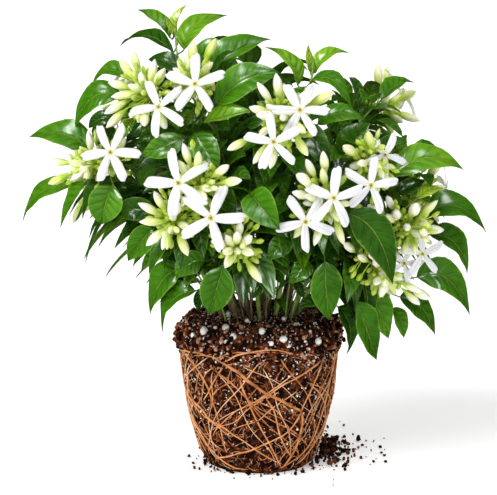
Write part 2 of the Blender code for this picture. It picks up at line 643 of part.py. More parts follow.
class Plant:
    """Every stem, spray, leaf, bud and flower in its place."""

    def __init__(self):
        self.placed = Placed()
        self.stems, self.shoots, self.leaves = {}, [], []
        self.buds, self.flowers = [], []
        self.set_ball()
        self.set_stems()
        self.set_shoots()
        self.set_flowers()
        self.set_stalks()
        self.set_buds()
        self.set_face_leaves()
        self.set_pairs()

    def has_spray(self, stem):
        return stem.name != "crown"

    def set_ball(self):
        """A plain drum in the ball's place, so that leaves and stalks stay clear of it."""
        drum = [ring(UP * height, UP, radius + BALL_MARGIN, 16) for height, radius in BALL_PROFILE]
        self.placed.add("ball", *loft(drum))

    def set_stems(self):
        for name, spray in FACE_SPRAYS.items():
            hub = spot(*spray["hub"], bulge(*spray["hub"]) - HUB_DEPTH)
            self.stems[name] = Stem(name, spray["foot"], hub)
        for name, (foot, bearing, elevation, _) in BACK_STEMS.items():
            hub = in_canopy(math.radians(bearing), math.radians(elevation), HUB_SHARE)
            self.stems[name] = Stem(name, foot, hub)
        for stem in self.stems.values():
            self.placed.add("stem " + stem.name, *sleeve(stem.path, stem.radii, 0.0))

    def set_shoots(self):
        """Side shoots that carry the youngest leaves above the sprays."""
        for name, middle, tip in YOUNG_SHOOTS:
            stem = self.stems[name]
            middle = spot(*middle[:2], middle[2] * MM)
            tip = spot(*tip[:2], tip[2] * MM)
            shares = [k / 20 for k in range(8, 16)]
            share = min(shares, key=lambda s: (stem.at(s) - middle).length)
            path = [through(stem.at(share), middle, tip, k / 4) for k in range(5)]
            radii = np.linspace(1.0 * MM, TWIG_RADIUS, 5).tolist()
            self.shoots.append((stem, path, radii))
            self.placed.add("stem " + name, *sleeve(path, radii, 0.0))

    def set_flowers(self):
        for name, spray in FACE_SPRAYS.items():
            for number, (x, y, petals, roll, reach, out) in enumerate(spray["flowers"]):
                centre = spot(x, y, bulge(x, y) + out * MM)
                outward = (centre - CANOPY_CENTRE).normalized()
                facing = (SIGHT + outward * FLOWER_LEAN).normalized()
                title = f"bloom_{name}_{number + 1}"
                flower = Flower(title, centre, facing, petals, math.radians(roll), reach * PIXEL)
                self.set_flower(self.stems[name], flower)
        for number, (name, (_, _, _, count)) in enumerate(BACK_STEMS.items()):
            if count:
                stem = self.stems[name]
                facing = (stem.outward + UP * 0.2).normalized()
                centre = stem.hub + facing * HUB_DEPTH
                flower = Flower("bloom_" + name, centre, facing, 5, 0.9 * number,
                                BACK_FLOWER_REACH)
                self.set_flower(stem, flower)

    def set_flower(self, stem, flower):
        flower.stem = stem
        self.flowers.append(flower)
        self.placed.add(flower.name, *flower.slab())
        self.placed.add(flower.name, *sleeve(flower.tube(), (TUBE_RADIUS, TUBE_RADIUS), 0.0))

    def set_stalks(self):
        for name, stem in self.stems.items():
            if self.has_spray(stem):
                skin = sleeve(stem.stalk(), (STALK_RADIUS, STALK_RADIUS), 0.0)
                self.placed.add("spray " + name, *skin)
        for flower in self.flowers:
            self.placed.add("spray " + flower.stem.name, *loft(flower.pedicel()))

    def set_buds(self):
        for number, (name, stem) in enumerate(self.stems.items()):
            draw = np.random.default_rng(100 + number)
            if name in FACE_SPRAYS:
                wanted = self.face_buds(stem, FACE_SPRAYS[name])
            elif self.has_spray(stem):
                wanted = self.fan_of_buds(stem, draw)
            else:
                wanted = []
            for k, (tip, large) in enumerate(wanted):
                self.set_bud(stem, stem.on_stalk(k / (len(wanted) - 1)), tip, large)

    def face_buds(self, stem, spray):
        """The tips of the buds that the picture shows, each near the depth of its hub."""
        hub_toward = -stem.hub.y
        wanted = []
        for large, tips in ((True, spray["buds"]), (False, spray["small"])):
            for x, y in tips:
                ahead = bulge(x, y) + (2 if large else -6) * MM
                toward = within(ahead, hub_toward - 10 * MM, hub_toward + 30 * MM)
                wanted.append((spot(x, y, toward), large))
        return wanted

    def fan_of_buds(self, stem, draw):
        """The tips of buds that fan out round the stem's end, a golden angle apart."""
        aside = square_to(UP, stem.outward)
        wanted = []
        for k in range(BACK_BUDS + BACK_SMALL_BUDS):
            large = k < BACK_BUDS
            turn = Matrix.Rotation(2.4 * k + draw.random() * 0.5, 3, stem.outward)
            tilt = FAN_TILT * (0.75 + 0.5 * draw.random())
            heading = stem.outward * math.cos(tilt) + (turn @ aside) * math.sin(tilt)
            length = (30 + 8 * draw.random()) * MM if large else (15 + 7 * draw.random()) * MM
            wanted.append((stem.hub + heading * length, large))
        return wanted

    def set_bud(self, stem, root, tip, large):
        """Tries a bud where it is wanted, then bent in and out until it crosses nothing."""
        spray = "spray " + stem.name
        for headroom in (True, False):
            for bend in BUD_BENDS:
                bud = Bud(root, tip + SIGHT * bend * MM, large)
                rows = bud.rings(CLEARANCE)
                if headroom and not self.placed.is_clear(*loft(rows[1:])):
                    continue
                if self.placed.is_clear(*loft(rows), allowed=(spray,)):
                    bud.stem = stem
                    self.buds.append(bud)
                    self.placed.add(spray, *loft(bud.rings()))
                    return

    def seats(self, foot, heading):
        """Places that a petiole could grow from, the nearest and straightest first."""
        found = []
        for stem in self.stems.values():
            for k in range(3, 40):
                found.append((stem, stem.at(k / 40)))
        for stem, path, _ in self.shoots:
            for low, high in zip(path[1:], path[2:]):
                found += [(stem, low.lerp(high, part)) for part in (0.2, 0.6, 0.95)]
        ranked = []
        for stem, root in found:
            reach = (foot - root).length
            bend = 1 - (foot - root).normalized().dot(heading)
            if bend < 1.3 and reach > 3 * MM:
                slack = reach * (1 + 0.4 * bend) + max(0.0, root.z - foot.z) * 0.4
                ranked.append((slack, len(ranked), stem, root))
        ranked.sort(key=lambda seat: seat[:2])
        best, taken = [], {}
        for _, _, stem, root in ranked:
            if taken.get(stem.name, 0) < 4 and len(taken | {stem.name: 0}) <= 4:
                taken[stem.name] = taken.get(stem.name, 0) + 1
                best.append((stem, root))
        return best

    def set_face_leaves(self):
        draw = np.random.default_rng(11)
        for row in FACE_LEAVES:
            self.try_leaf(leaf_from_picture(row, draw))

    def try_leaf(self, wanted):
        """Tries a leaf from the nearest stems, bent in and out until it crosses nothing."""
        for loose in (False, True):
            for bend in LEAF_BENDS:
                shift = SIGHT * bend * MM
                for foot_share in (1.0, 0.4):
                    leaf = wanted.moved(shift * foot_share, shift)
                    heading = (leaf.middle - leaf.foot).normalized()
                    for stem, root in self.seats(leaf.foot, heading):
                        leaf.stem, leaf.root = stem, root
                        if self.fits(leaf, loose):
                            return

    def fits(self, leaf, loose):
        """Keeps a leaf that crosses nothing but its stem, or at most leaves of that stem."""
        own_stem, own_leaves = "stem " + leaf.stem.name, "leaves " + leaf.stem.name
        rows = leaf.rings(CLEARANCE)
        if not loose and not self.placed.is_clear(*loft(rows[1:]), allowed=(own_stem,)):
            return False
        if not self.placed.is_clear(*loft(rows), allowed=(own_stem, own_leaves)):
            return False
        self.leaves.append(leaf)
        self.placed.add(own_leaves, *loft(leaf.rings()))
        return True

    def set_pairs(self):
        """Opposite pairs of leaves, each pair square to the last, wherever there is room."""
        for number, (name, stem) in enumerate(self.stems.items()):
            draw = np.random.default_rng(300 + number)
            if name in FACE_SPRAYS:
                shares, length = INNER_PAIRS, INNER_LEAF
            else:
                shares = BACK_PAIRS if self.has_spray(stem) else CROWN_PAIRS
                length = PAIR_LEAF
            for k, share in enumerate(shares):
                for side in (1, -1):
                    size = length * (0.85 + 0.3 * draw.random())
                    self.try_pair_leaf(stem, share, side, k * math.pi / 2, size)

    def try_pair_leaf(self, stem, share, side, turn, size):
        for shrink in (1.0, 0.8):
            for swing in PAIR_SWINGS:
                for twig in PAIR_TWIGS:
                    leaf = pair_leaf(stem, share, side, turn + swing, size * shrink, twig)
                    if self.fits(leaf, loose=False):
                        return


def clear_scene():
    for obj in list(bpy.data.objects):
        bpy.data.objects.remove(obj, do_unlink=True)


def new_collection(name):
    collection = bpy.data.collections.new(name)
    bpy.context.scene.collection.children.link(collection)
    return collection


def material(name, colour, roughness):
    made = bpy.data.materials.new(name)
    made.use_nodes = True
    shader = made.node_tree.nodes["Principled BSDF"]
    shader.inputs["Base Color"].default_value = (*colour, 1)
    shader.inputs["Roughness"].default_value = roughness
    shader.inputs["Metallic"].default_value = 0.0
    return made


def linked(name, data, collection):
    obj = bpy.data.objects.new(name, data)
    collection.objects.link(obj)
    return obj


def mesh_object(name, points, faces, collection):
    """An object from points and faces, its normals turned outwards."""
    mesh = bpy.data.meshes.new(name)
    mesh.from_pydata(points, [], faces)
    work = bmesh.new()
    work.from_mesh(mesh)
    bmesh.ops.recalc_face_normals(work, faces=work.faces)
    work.to_mesh(mesh)
    work.free()
    return linked(name, mesh, collection)


def evaluated_mesh(obj):
    """The object's mesh with its modifiers applied."""
    graph = bpy.context.evaluated_depsgraph_get()
    return bpy.data.meshes.new_from_object(obj.evaluated_get(graph))


def tube(name, path, radii, collection, detail=0, cyclic=False):
    """A round tube along a path, as a mesh: a bevelled curve whose caps are welded on."""
    curve = bpy.data.curves.new(name, "CURVE")
    curve.dimensions = "3D"
    curve.bevel_depth = MM
    curve.bevel_resolution = detail
    curve.use_fill_caps = not cyclic
    spline = curve.splines.new("POLY")
    spline.use_cyclic_u = cyclic
    spline.points.add(len(path) - 1)
    for point, place, radius in zip(spline.points, path, radii):
        point.co = (*place, 1)
        point.radius = radius / MM
    guide = linked(name, curve, collection)
    mesh = evaluated_mesh(guide)
    bpy.data.objects.remove(guide)
    work = bmesh.new()
    work.from_mesh(mesh)
    bmesh.ops.remove_doubles(work, verts=work.verts, dist=0.01 * MM)
    bmesh.ops.recalc_face_normals(work, faces=work.faces)
    work.to_mesh(mesh)
    work.free()
    return linked(name, mesh, collection)


def island_of(seed):
    """Every face that is joined to the seed through shared vertices."""
    island, waiting = {seed}, [seed]
    while waiting:
        for vertex in waiting.pop().verts:
            for face in vertex.link_faces:
                if face not in island:
                    island.add(face)
                    waiting.append(face)
    return island


def fill_hollows(mesh):
    """Drops the skins of sealed hollows and loose scraps: all but the largest island."""
    work = bmesh.new()
    work.from_mesh(mesh)
    left, islands = set(work.faces), []
    while left:
        island = island_of(next(iter(left)))
        left -= island
        islands.append(island)
    islands.sort(key=lambda island: sum(face.calc_area() for face in island))
    spare = [face for island in islands[:-1] for face in island]
    bmesh.ops.delete(work, geom=spare, context="FACES")
    work.to_mesh(mesh)
    work.free()


def fused(base, pieces, operation="UNION"):
    """Joins the pieces to the base, or cuts them from it, by one Boolean that is applied."""
    group = new_collection(base.name + "_pieces")
    for piece in pieces:
        for old in piece.users_collection:
            old.objects.unlink(piece)
        group.objects.link(piece)
    join = base.modifiers.new("join", "BOOLEAN")
    join.operation = operation
    join.operand_type = "COLLECTION"
    join.collection = group
    join.solver = "EXACT"
    mesh = evaluated_mesh(base)
    base.modifiers.remove(join)
    fill_hollows(mesh)
    base.data = mesh
    for piece in pieces:
        bpy.data.objects.remove(piece, do_unlink=True)
    bpy.data.collections.remove(group)
    return base


def finish(obj, surface):
    obj.data.materials.clear()
    obj.data.materials.append(surface)
    for face in obj.data.polygons:
        face.material_index = 0


def soil_ball(plant, collection):
    """The turned body of soil, worn uneven, with perlite beads and the stems' plain holes."""
    profile = bmesh.new()
    places = [(0.0, SOIL_TOP)] + [(r, z) for z, r in reversed(BALL_PROFILE)] + [(0.0, 0.0)]
    rows = [profile.verts.new((radius, 0, height)) for radius, height in places]
    for low, high in zip(rows, rows[1:]):
        profile.edges.new((low, high))
    mesh = bpy.data.meshes.new("soil_ball")
    profile.to_mesh(mesh)
    profile.free()
    ball = linked("soil_ball", mesh, collection)
    turn = ball.modifiers.new("turn", "SCREW")
    turn.steps = turn.render_steps = BALL_STEPS
    turn.use_merge_vertices = True
    turn.merge_threshold = 0.05 * MM
    ball.data = evaluated_mesh(ball)
    ball.modifiers.clear()
    for vertex in ball.data.vertices:
        if vertex.co.z > 1 * MM and vertex.co.xy.length > 1 * MM:
            wear = min(abs(noise.noise(vertex.co * 90)) * 2.5 * SOIL_WEAR, SOIL_WEAR)
            vertex.co.xy -= vertex.co.xy.normalized() * wear
    fused(ball, beads(collection))
    fused(ball, holes(plant, collection), "DIFFERENCE")
    return ball


def beads(collection):
    """Perlite beads, sunk halfway into the soil where the picture shows them and behind."""
    places = [on_ball(x, y, -0.6 * MM) for x, y in BEADS]
    for k in range(BACK_BEADS):
        bearing = math.radians(25 + 43 * k)
        out = (36 + 5 * (k % 3)) * MM
        places.append(Vector((out * math.cos(bearing), out * math.sin(bearing), SOIL_TOP - MM)))
    made = []
    for place in places:
        bead = bmesh.new()
        bmesh.ops.create_icosphere(bead, subdivisions=1, radius=BEAD_RADIUS,
                                   matrix=Matrix.Translation(place))
        mesh = bpy.data.meshes.new("bead")
        bead.to_mesh(mesh)
        bead.free()
        made.append(linked("bead", mesh, collection))
    return made


def cone_between(name, low, high, radii, sides, collection):
    """A cone or cylinder from one point to another."""
    axis = high - low
    place = Matrix.Translation((low + high) / 2) @ axis.to_track_quat("Z", "Y").to_matrix().to_4x4()
    work = bmesh.new()
    bmesh.ops.create_cone(work, cap_ends=True, segments=sides, radius1=radii[0], radius2=radii[1],
                          depth=axis.length, matrix=place)
    mesh = bpy.data.meshes.new(name)
    work.to_mesh(mesh)
    work.free()
    return linked(name, mesh, collection)


def holes(plant, collection):
    """A straight hole round the foot of each stem, a little wider and deeper than it."""
    made = []
    for stem in plant.stems.values():
        low = stem.path[0] - stem.rise * SEAT_GAP
        high = low + stem.rise * (HOLE_DEPTH + 10 * MM)
        wide = (STEM_FOOT_RADIUS + HOLE_CLEARANCE) / math.cos(math.pi / 6)
        made.append(cone_between("hole", low, high, (wide, wide), 6, collection))
    return made


def root_net(collection):
    """The roots round the ball: the face's, one that rings the rim, and the back's."""
    roots = []
    path = []
    for k in range(RIM_ROOT_POINTS):
        bearing = 2 * math.pi * k / RIM_ROOT_POINTS
        height = RIM_ROOT_HEIGHT + RIM_ROOT_RISE * max(0.0, -math.sin(bearing))
        height += 2 * MM * math.sin(3 * bearing)
        out = ball_radius(height) + ROOT_LIFT
        path.append(Vector((out * math.cos(bearing), out * math.sin(bearing), height)))
    rim = tube("root_net", path, [ROOT_RADIUS] * len(path), collection, cyclic=True)
    for places in FACE_ROOTS:
        path = smooth_path([on_ball(x, y, ROOT_LIFT) for x, y in places], len(places) + 4)
        path = [hugging(place, ROOT_LIFT) for place in path]
        radii = np.linspace(1.15, 0.8, len(path)) * ROOT_RADIUS
        roots.append(tube("root", path, radii, collection))
    for k in range(BACK_ROOTS):
        slant = 1 if k % 2 else -1
        start = math.radians(10 + 160 * k / (BACK_ROOTS - 1))
        sweep = math.radians(80 + 20 * math.sin(3 * k)) * slant
        path = []
        for share in np.linspace(0, 1, BACK_ROOT_POINTS):
            height = (84 + 80 * -share + 4 * math.sin(2 * math.pi * share + k)) * MM
            bearing = start + sweep * (share - 0.25)
            way = Vector((math.cos(bearing), math.sin(bearing), height))
            path.append(hugging(way, ROOT_LIFT))
        radii = np.linspace(1.15, 0.8, len(path)) * ROOT_RADIUS
        roots.append(tube("root", path, radii, collection))
    return fused(rim, roots)


def leafy_stem(plant, stem, collection):
    """One stem with its shoots and every leaf that grows from it."""
    base = tube("stem_" + stem.name, stem.path, stem.radii, collection, detail=1)
    pieces = [mesh_object("leaf", *loft(leaf.rings()), collection)
              for leaf in plant.leaves if leaf.stem is stem]
    pieces += [tube("shoot", path, radii, collection)
               for owner, path, radii in plant.shoots if owner is stem]
    return fused(base, pieces)


def flower_spray(plant, stem, collection):
    """The stalk that stands on a stem's end, with its pedicels and buds."""
    radii = (STALK_RADIUS * 1.1, STALK_RADIUS)
    base = tube("spray_" + stem.name, stem.stalk(), radii, collection)
    pieces = [mesh_object("bud", *loft(bud.rings()), collection)
              for bud in plant.buds if bud.stem is stem]
    pieces += [mesh_object("pedicel", *loft(flower.pedicel()), collection)
               for flower in plant.flowers if flower.stem is stem]
    return fused(base, pieces)


def bloom(flower, collection):
    """One open flower: the sheet of petals given its thickness, on its tube."""
    points, faces = flower.star()
    petals = mesh_object(flower.name, points, faces, collection)
    if petals.data.polygons[0].normal.dot(flower.facing) < 0:
        petals.data.flip_normals()
    thick = petals.modifiers.new("thick", "SOLIDIFY")
    thick.thickness = PETAL_THICKNESS
    thick.offset = -1
    petals.data = evaluated_mesh(petals)
    petals.modifiers.clear()
    radii = (TUBE_RADIUS * 0.8, TUBE_RADIUS)
    return fused(petals, [cone_between("tube", *flower.tube(), radii, 5, collection)])


def main():
    clear_scene()
    model = new_collection("downy_jasmine")
    soil = material("soil", (0.045, 0.026, 0.017), 0.95)
    root = material("root", (0.55, 0.22, 0.08), 0.6)
    green = material("foliage", (0.06, 0.24, 0.03), 0.35)
    lime = material("bud", (0.62, 0.74, 0.34), 0.5)
    white = material("petal", (0.92, 0.92, 0.94), 0.5)
    plant = Plant()
    finish(soil_ball(plant, model), soil)
    finish(root_net(model), root)
    for stem in plant.stems.values():
        finish(leafy_stem(plant, stem, model), green)
        if plant.has_spray(stem):
            finish(flower_spray(plant, stem, model), lime)
    for flower in plant.flowers:
        finish(bloom(flower, model), white)


main()
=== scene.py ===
"""Flowering downy jasmine on its bare root ball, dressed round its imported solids.

The layout follows the same rules and the same seeds as the solids, so every fine leaf, bud,
flower and root lies where its solid does, and what is added grows from what is there.
Leaves, petals, buds, roots and crumbs are then surfaces worked out as whole arrays: rings of
points carried along a path. Lengths are in metres, +Z is up and the plant faces -Y.
"""

import collections
import itertools
import json
import math

import bpy
import numpy as np
from mathutils import Matrix, Vector
from mathutils.bvhtree import BVHTree

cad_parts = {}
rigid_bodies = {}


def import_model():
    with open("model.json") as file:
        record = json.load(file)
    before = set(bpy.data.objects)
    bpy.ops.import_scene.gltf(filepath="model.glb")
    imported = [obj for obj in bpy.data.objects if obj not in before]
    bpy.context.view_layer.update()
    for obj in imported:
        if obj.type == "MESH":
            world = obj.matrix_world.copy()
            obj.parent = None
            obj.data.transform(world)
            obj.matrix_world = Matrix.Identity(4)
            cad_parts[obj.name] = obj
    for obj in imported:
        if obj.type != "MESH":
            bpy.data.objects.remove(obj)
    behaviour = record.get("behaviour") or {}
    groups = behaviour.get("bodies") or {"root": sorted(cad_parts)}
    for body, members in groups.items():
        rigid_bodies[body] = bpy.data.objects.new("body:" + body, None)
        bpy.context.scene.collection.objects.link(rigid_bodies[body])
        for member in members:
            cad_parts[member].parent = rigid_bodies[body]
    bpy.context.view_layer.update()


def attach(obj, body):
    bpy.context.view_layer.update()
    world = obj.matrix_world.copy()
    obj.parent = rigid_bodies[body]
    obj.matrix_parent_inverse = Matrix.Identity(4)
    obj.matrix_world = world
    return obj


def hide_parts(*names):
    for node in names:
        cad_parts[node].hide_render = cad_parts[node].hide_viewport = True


for leftover in list(bpy.data.objects):
    bpy.data.objects.remove(leftover, do_unlink=True)
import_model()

MM = 0.001
TAU = 2 * math.pi
UP = Vector((0, 0, 1))

# The picture: its middle, the size of one pixel at the plant, and the camera
PICTURE_WIDTH_PX = 497
FRAME_MIDDLE_PX = (248.5, 247.5)
PIXEL = 0.70 * MM
CAMERA_DISTANCE = 1.8
CAMERA_LIFT = math.radians(11)
AIM = Vector((-7.7, 0, 153.7)) * MM
SIGHT = Vector((0, -math.cos(CAMERA_LIFT), math.sin(CAMERA_LIFT)))
PICTURE_UP = Vector((0, math.sin(CAMERA_LIFT), math.cos(CAMERA_LIFT)))

# The canopy: its face is a half ellipse in the picture that bulges towards the viewer,
# and the back mirrors it in the round
CANOPY_MIDDLE_PX = (255, 172)
CANOPY_ACROSS_PX = 208
CANOPY_ABOVE_PX = 155
CANOPY_BELOW_PX = 205
CANOPY_BULGE = 118 * MM
CANOPY_CENTRE = Vector((-3, 0, 203)) * MM
CANOPY_RADII = Vector((138, 116, 100)) * MM

# The root ball, shaped by the pot that it came out of: height and radius, foot to crown
BALL_PROFILE = [(height * MM, radius * MM) for height, radius in (
    (0, 35.5), (3, 38.5), (11, 41.5), (22, 45), (37, 48.8), (58, 52.4), (80, 55), (89, 57.5),
    (96, 57.5), (102, 54.5), (106, 48), (107.5, 30))]
SOIL_TOP = 108 * MM
BALL_MARGIN = 2.5 * MM
HOLE_DEPTH = 12 * MM
SEAT_GAP = 0.3 * MM
BEADS = ((229, 316), (227, 327), (234, 336), (262, 331), (295, 325), (283, 339), (317, 341),
         (205, 331))

# The net of roots that grips the ball. The face's roots run through places in the picture.
ROOT_LIFT = 1.6 * MM
ROOT_LOWEST = 3.5 * MM
FACE_ROOTS = (
    ((221, 360), (242, 375), (264, 391), (284, 402), (300, 412), (299, 431), (293, 451),
     (281, 469)),
    ((321, 361), (313, 382), (303, 404), (295, 424)),
    ((215, 459), (242, 453), (266, 443), (287, 431), (300, 412)),
    ((184, 350), (197, 366), (209, 386), (215, 404), (221, 425), (227, 453)),
    ((240, 380), (248, 400), (258, 423), (268, 441), (281, 468)),
    ((323, 358), (303, 372), (282, 385), (262, 398), (242, 408), (227, 419), (213, 436)),
    ((186, 388), (201, 406), (213, 421), (225, 427), (242, 439), (262, 453), (284, 465)),
    ((181, 352), (187, 388), (191, 412), (199, 431), (211, 447), (228, 464), (248, 471)),
    ((335, 352), (329, 376), (323, 404), (315, 429), (303, 451), (278, 471)),
)
RIM_ROOT_HEIGHT = 80 * MM
RIM_ROOT_RISE = 10 * MM
RIM_ROOT_POINTS = 24
BACK_ROOTS = 5
BACK_ROOT_POINTS = 9

# Stems, leaves, buds and flowers
STEM_STRAIGHT = 24 * MM
STEM_SPREAD = 0.5
STEM_RISE = 95 * MM
STEM_FOOT_RADIUS = 1.9 * MM
STEM_RADIUS = 1.6 * MM
STEM_TIP_RADIUS = 0.95 * MM
STEM_PIECES = 5
HUB_DEPTH = 27 * MM
HUB_SHARE = 0.78
STALK_RADIUS = 0.8 * MM
TWIG_RADIUS = 0.6 * MM
BLADE_THICKNESS = 0.7 * MM
LEAF_WIDTH_SHARE = 0.47
LEAF_WIDEST = 23 * MM
LEAF_ARCH = 0.1
LEAF_SWAY = 0.4
FOOT_BEHIND = 0.86
RIM_SPREAD = 46 * MM
LEAF_BENDS = (0, 5, -5, 10, -10, 15, -15, 20, -20, 27, -27, 34)
BUD_BENDS = (0, 4, -4, 8, -8, 12, -12, 17, -17, 22)
BUD_LENGTH = 15.5 * MM
# How far a large bud and a small one stand out of the canopy's face, and how far off its
# hub's depth a bud may be, behind it and in front
LARGE_BUD_OUT, SMALL_BUD_OUT = 2 * MM, -6 * MM
BUD_BEHIND, BUD_AHEAD = 10 * MM, 30 * MM
BUD_RADIUS = 3.1 * MM
SMALL_BUD_RADIUS = 1.7 * MM
PETAL_THICKNESS = 0.8 * MM
TUBE_LENGTH = 12 * MM
TUBE_RADIUS = 1.2 * MM
PEDICEL_RADIUS = 0.7 * MM
PEDICEL_KNEE = 4 * MM
CALYX_RADIUS = 1.4 * MM
FLOWER_LEAN = 0.45
CLEARANCE = 0.35 * MM

# Half width of a leaf along its blade, as (share of the length, share of the half width)
BROAD_BLADE = ((0.14, 0.6), (0.42, 1.0), (0.74, 0.64))
PLAIN_BLADE = ((0.34, 1.0), (0.72, 0.7))
BROAD_FROM = 13 * MM

# The face's flower sprays. foot: where the stem stands on the soil, in mm, x and y.
# hub: where the spray branches, in the picture. flowers: x, y, petals, roll in degrees,
# reach in pixels, and how far it stands out in mm. buds and small: the tips of large
# buds and of small green ones.
Spray = collections.namedtuple("Spray", "foot hub flowers buds small")
FACE_SPRAYS = {
    "upper_left": Spray(
        (-15, -8), (154, 99),
        ((158.5, 107, 5, -24, 29, 4),),
        ((131, 49), (123, 66), (108, 82), (155, 59), (111, 97), (104, 114), (106, 128)),
        ((148, 67), (133, 101)),
    ),
    "top": Spray(
        (-7, 0), (197, 88),
        ((195, 84, 5, 0, 30, 4),),
        ((177, 61), (216, 38), (193, 40)),
        ((181, 106), (206, 101)),
    ),
    "left": Spray(
        (-22, -3), (105, 166),
        ((110.5, 152.5, 6, -32, 30, 4),),
        ((47, 161), (48, 184), (74, 150), (88, 130), (79, 170)),
        ((88, 179), (131, 158)),
    ),
    "middle": Spray(
        (-5, -14), (203, 186),
        ((178.5, 183, 5, -18, 33, 4), (211, 218, 5, 21, 33, 4)),
        ((183, 143), (229, 165), (242, 180), (199, 151)),
        ((212, 163), (221, 201)),
    ),
    "lower_left": Spray(
        (-14, -16), (181, 217),
        (),
        ((138, 203), (139, 222), (146, 246), (162, 250), (154, 191), (188, 256)),
        ((166, 229), (187, 239)),
    ),
    "bottom": Spray(
        (1, -21), (238, 240),
        (),
        ((224, 253), (254, 254), (262, 283), (225, 268), (241, 222)),
        ((240, 272), (228, 229)),
    ),
    "upper_right": Spray(
        (3, -5), (281, 124),
        ((273.5, 142, 5, -7, 28, 6), (300, 110, 6, 27, 28, 0)),
        ((257, 82), (276, 73), (249, 107), (227, 150), (334, 92), (308, 156), (306, 133)),
        ((265, 100), (309, 88)),
    ),
    "right_top": Spray(
        (14, -1), (367, 163),
        ((370.8, 185.5, 5, 8, 28, 6), (385, 155, 5, 32, 23, -13)),
        ((343, 146), (368, 131), (389, 188)),
        ((353, 155), (372, 206)),
    ),
    "right_middle": Spray(
        (9, -13), (322, 200),
        ((333.8, 198, 5, 4, 30, 8), (305.6, 222, 5, -34, 29, 1)),
        ((306, 159), (323, 151), (296, 174), (292, 192), (344, 245), (314, 246)),
        ((312, 178), (338, 171)),
    ),
    "right_low": Spray(
        (22, -6), (401, 225),
        ((422.5, 254, 5, -5, 25, 4),),
        ((438, 200), (415, 203), (444, 230), (421, 237), (427, 220)),
        ((440, 212), (396, 205)),
    ),
    "low_right": Spray(
        (18, -14), (375, 266),
        ((404, 263, 5, 20, 22, -6),),
        ((409, 285), (420, 305), (431, 299), (387, 293), (344, 243), (358, 255)),
        ((395, 295), (365, 285)),
    ),
}

# Shoots of young leaves that branch off a stem. Its stem, the place in the picture and
# the distance towards the viewer, in mm, of the shoot's middle and of its tip
YOUNG_SHOOTS = (
    ("top", (184, 80, 40), (175, 28, 12)),
    ("upper_right", (305, 100, 50), (313, 62, 25)),
)

# The face's leaves: foot, middle of the midrib and tip in the picture, the width seen
# there in pixels, and how far out the leaf lies, as a share of the canopy's bulge
FACE_LEAVES = (
    ((170, 37), (155, 20), (137.5, 9.5), 12, 0.45),
    ((173, 52), (146, 35), (120, 42), 13, 0.5),
    ((184, 49), (196, 25), (227, 15), 19, 0.45),
    ((176, 31), (178, 18), (184.5, 4.5), 8, 0.4),
    ((174, 35), (169, 26), (168, 16), 5, 0.5),
    ((184, 73), (165, 61), (148, 58.5), 17, 0.65),
    ((196, 68), (209, 48), (228, 48), 15, 0.6),
    ((209, 70), (238, 50), (270.5, 38.5), 25, 0.7),
    ((217, 104), (245, 80), (279.5, 71.5), 30, 0.85),
    ((204, 122), (227, 116), (250, 108), 14, 0.85),
    ((130, 80), (109, 70), (90.5, 83.5), 13, 0.8),
    ((120, 96), (93, 97), (73.5, 126), 23, 0.85),
    ((114, 118), (99, 119), (88, 128), 13, 0.8),
    ((90, 151), (63, 134), (28.5, 136), 27, 0.85),
    ((72, 186), (41, 192), (19.5, 219), 16, 1.0),
    ((85, 183), (73, 201), (57, 226), 13, 0.9),
    ((112, 186), (105, 205), (101, 225), 32, 1.08),
    ((156, 214), (133, 209), (112, 217), 22, 0.78),
    ((184, 139), (162, 147), (141, 156), 22, 0.9),
    ((140, 184), (148, 173), (158, 169), 15, 0.7),
    ((194, 133), (206, 151), (219, 170), 27, 0.88),
    ((298, 85), (291, 62), (266, 45.5), 14, 0.5),
    ((310.5, 72), (308.5, 58), (308.5, 44.5), 7, 0.3),
    ((313, 73), (315, 65), (318, 56), 5, 0.3),
    ((315.5, 72), (328, 55), (348, 50.5), 12, 0.4),
    ((308, 85), (331, 79), (352, 106), 15, 0.6),
    ((318, 124), (340, 113), (366, 120), 18, 0.8),
    ((341, 153), (353, 137), (370, 123), 24, 0.7),
    ((300, 128), (315, 142), (330, 169), 24, 0.75),
    ((392, 176), (428, 157), (465, 167), 26, 0.9),
    ((397, 192), (410, 187), (426, 179), 14, 0.7),
    ((417, 198), (429, 190), (443, 186.5), 10, 1.0),
    ((426, 215), (457, 206), (487.5, 231), 23, 1.0),
    ((250, 193), (262, 208), (280, 230), 30, 1.04),
    ((349, 214), (377, 236), (394, 286), 35, 1.15),
    ((430, 235), (455, 243), (468.5, 273), 20, 0.85),
    ((417, 277), (446, 278), (470.5, 315), 30, 1.0),
    ((400, 297), (422, 308), (438.5, 334), 22, 1.05),
    ((357, 302), (367, 330), (378.5, 360.5), 24, 1.05),
    ((366, 287), (379, 311), (390, 339), 24, 0.85),
    ((393, 308), (401, 322), (404, 338), 14, 0.85),
    ((338, 307), (350, 327), (349.5, 355), 18, 0.85),
    ((325, 262), (326, 290), (329, 320.5), 30, 1.0),
    ((291, 239), (279, 247), (268.5, 261), 20, 0.85),
    ((310, 262), (301, 271), (289, 284), 18, 0.8),
    ((326, 297), (312, 301), (297, 306), 12, 0.85),
    ((153, 229), (141, 241), (127, 262), 24, 0.9),
    ((171, 250), (153, 255), (140.5, 270), 15, 0.85),
    ((181, 268), (160, 283), (147, 314), 25, 1.0),
    ((195, 291), (171, 302), (161.5, 332), 15, 1.0),
    ((203, 261), (188, 264), (176, 279), 22, 0.9),
    ((223, 267), (216, 291), (209.5, 315), 31, 1.08),
    ((206, 290), (199, 300), (199, 312), 10, 0.95),
    ((236, 196), (243, 213), (236, 232), 20, 0.75),
)

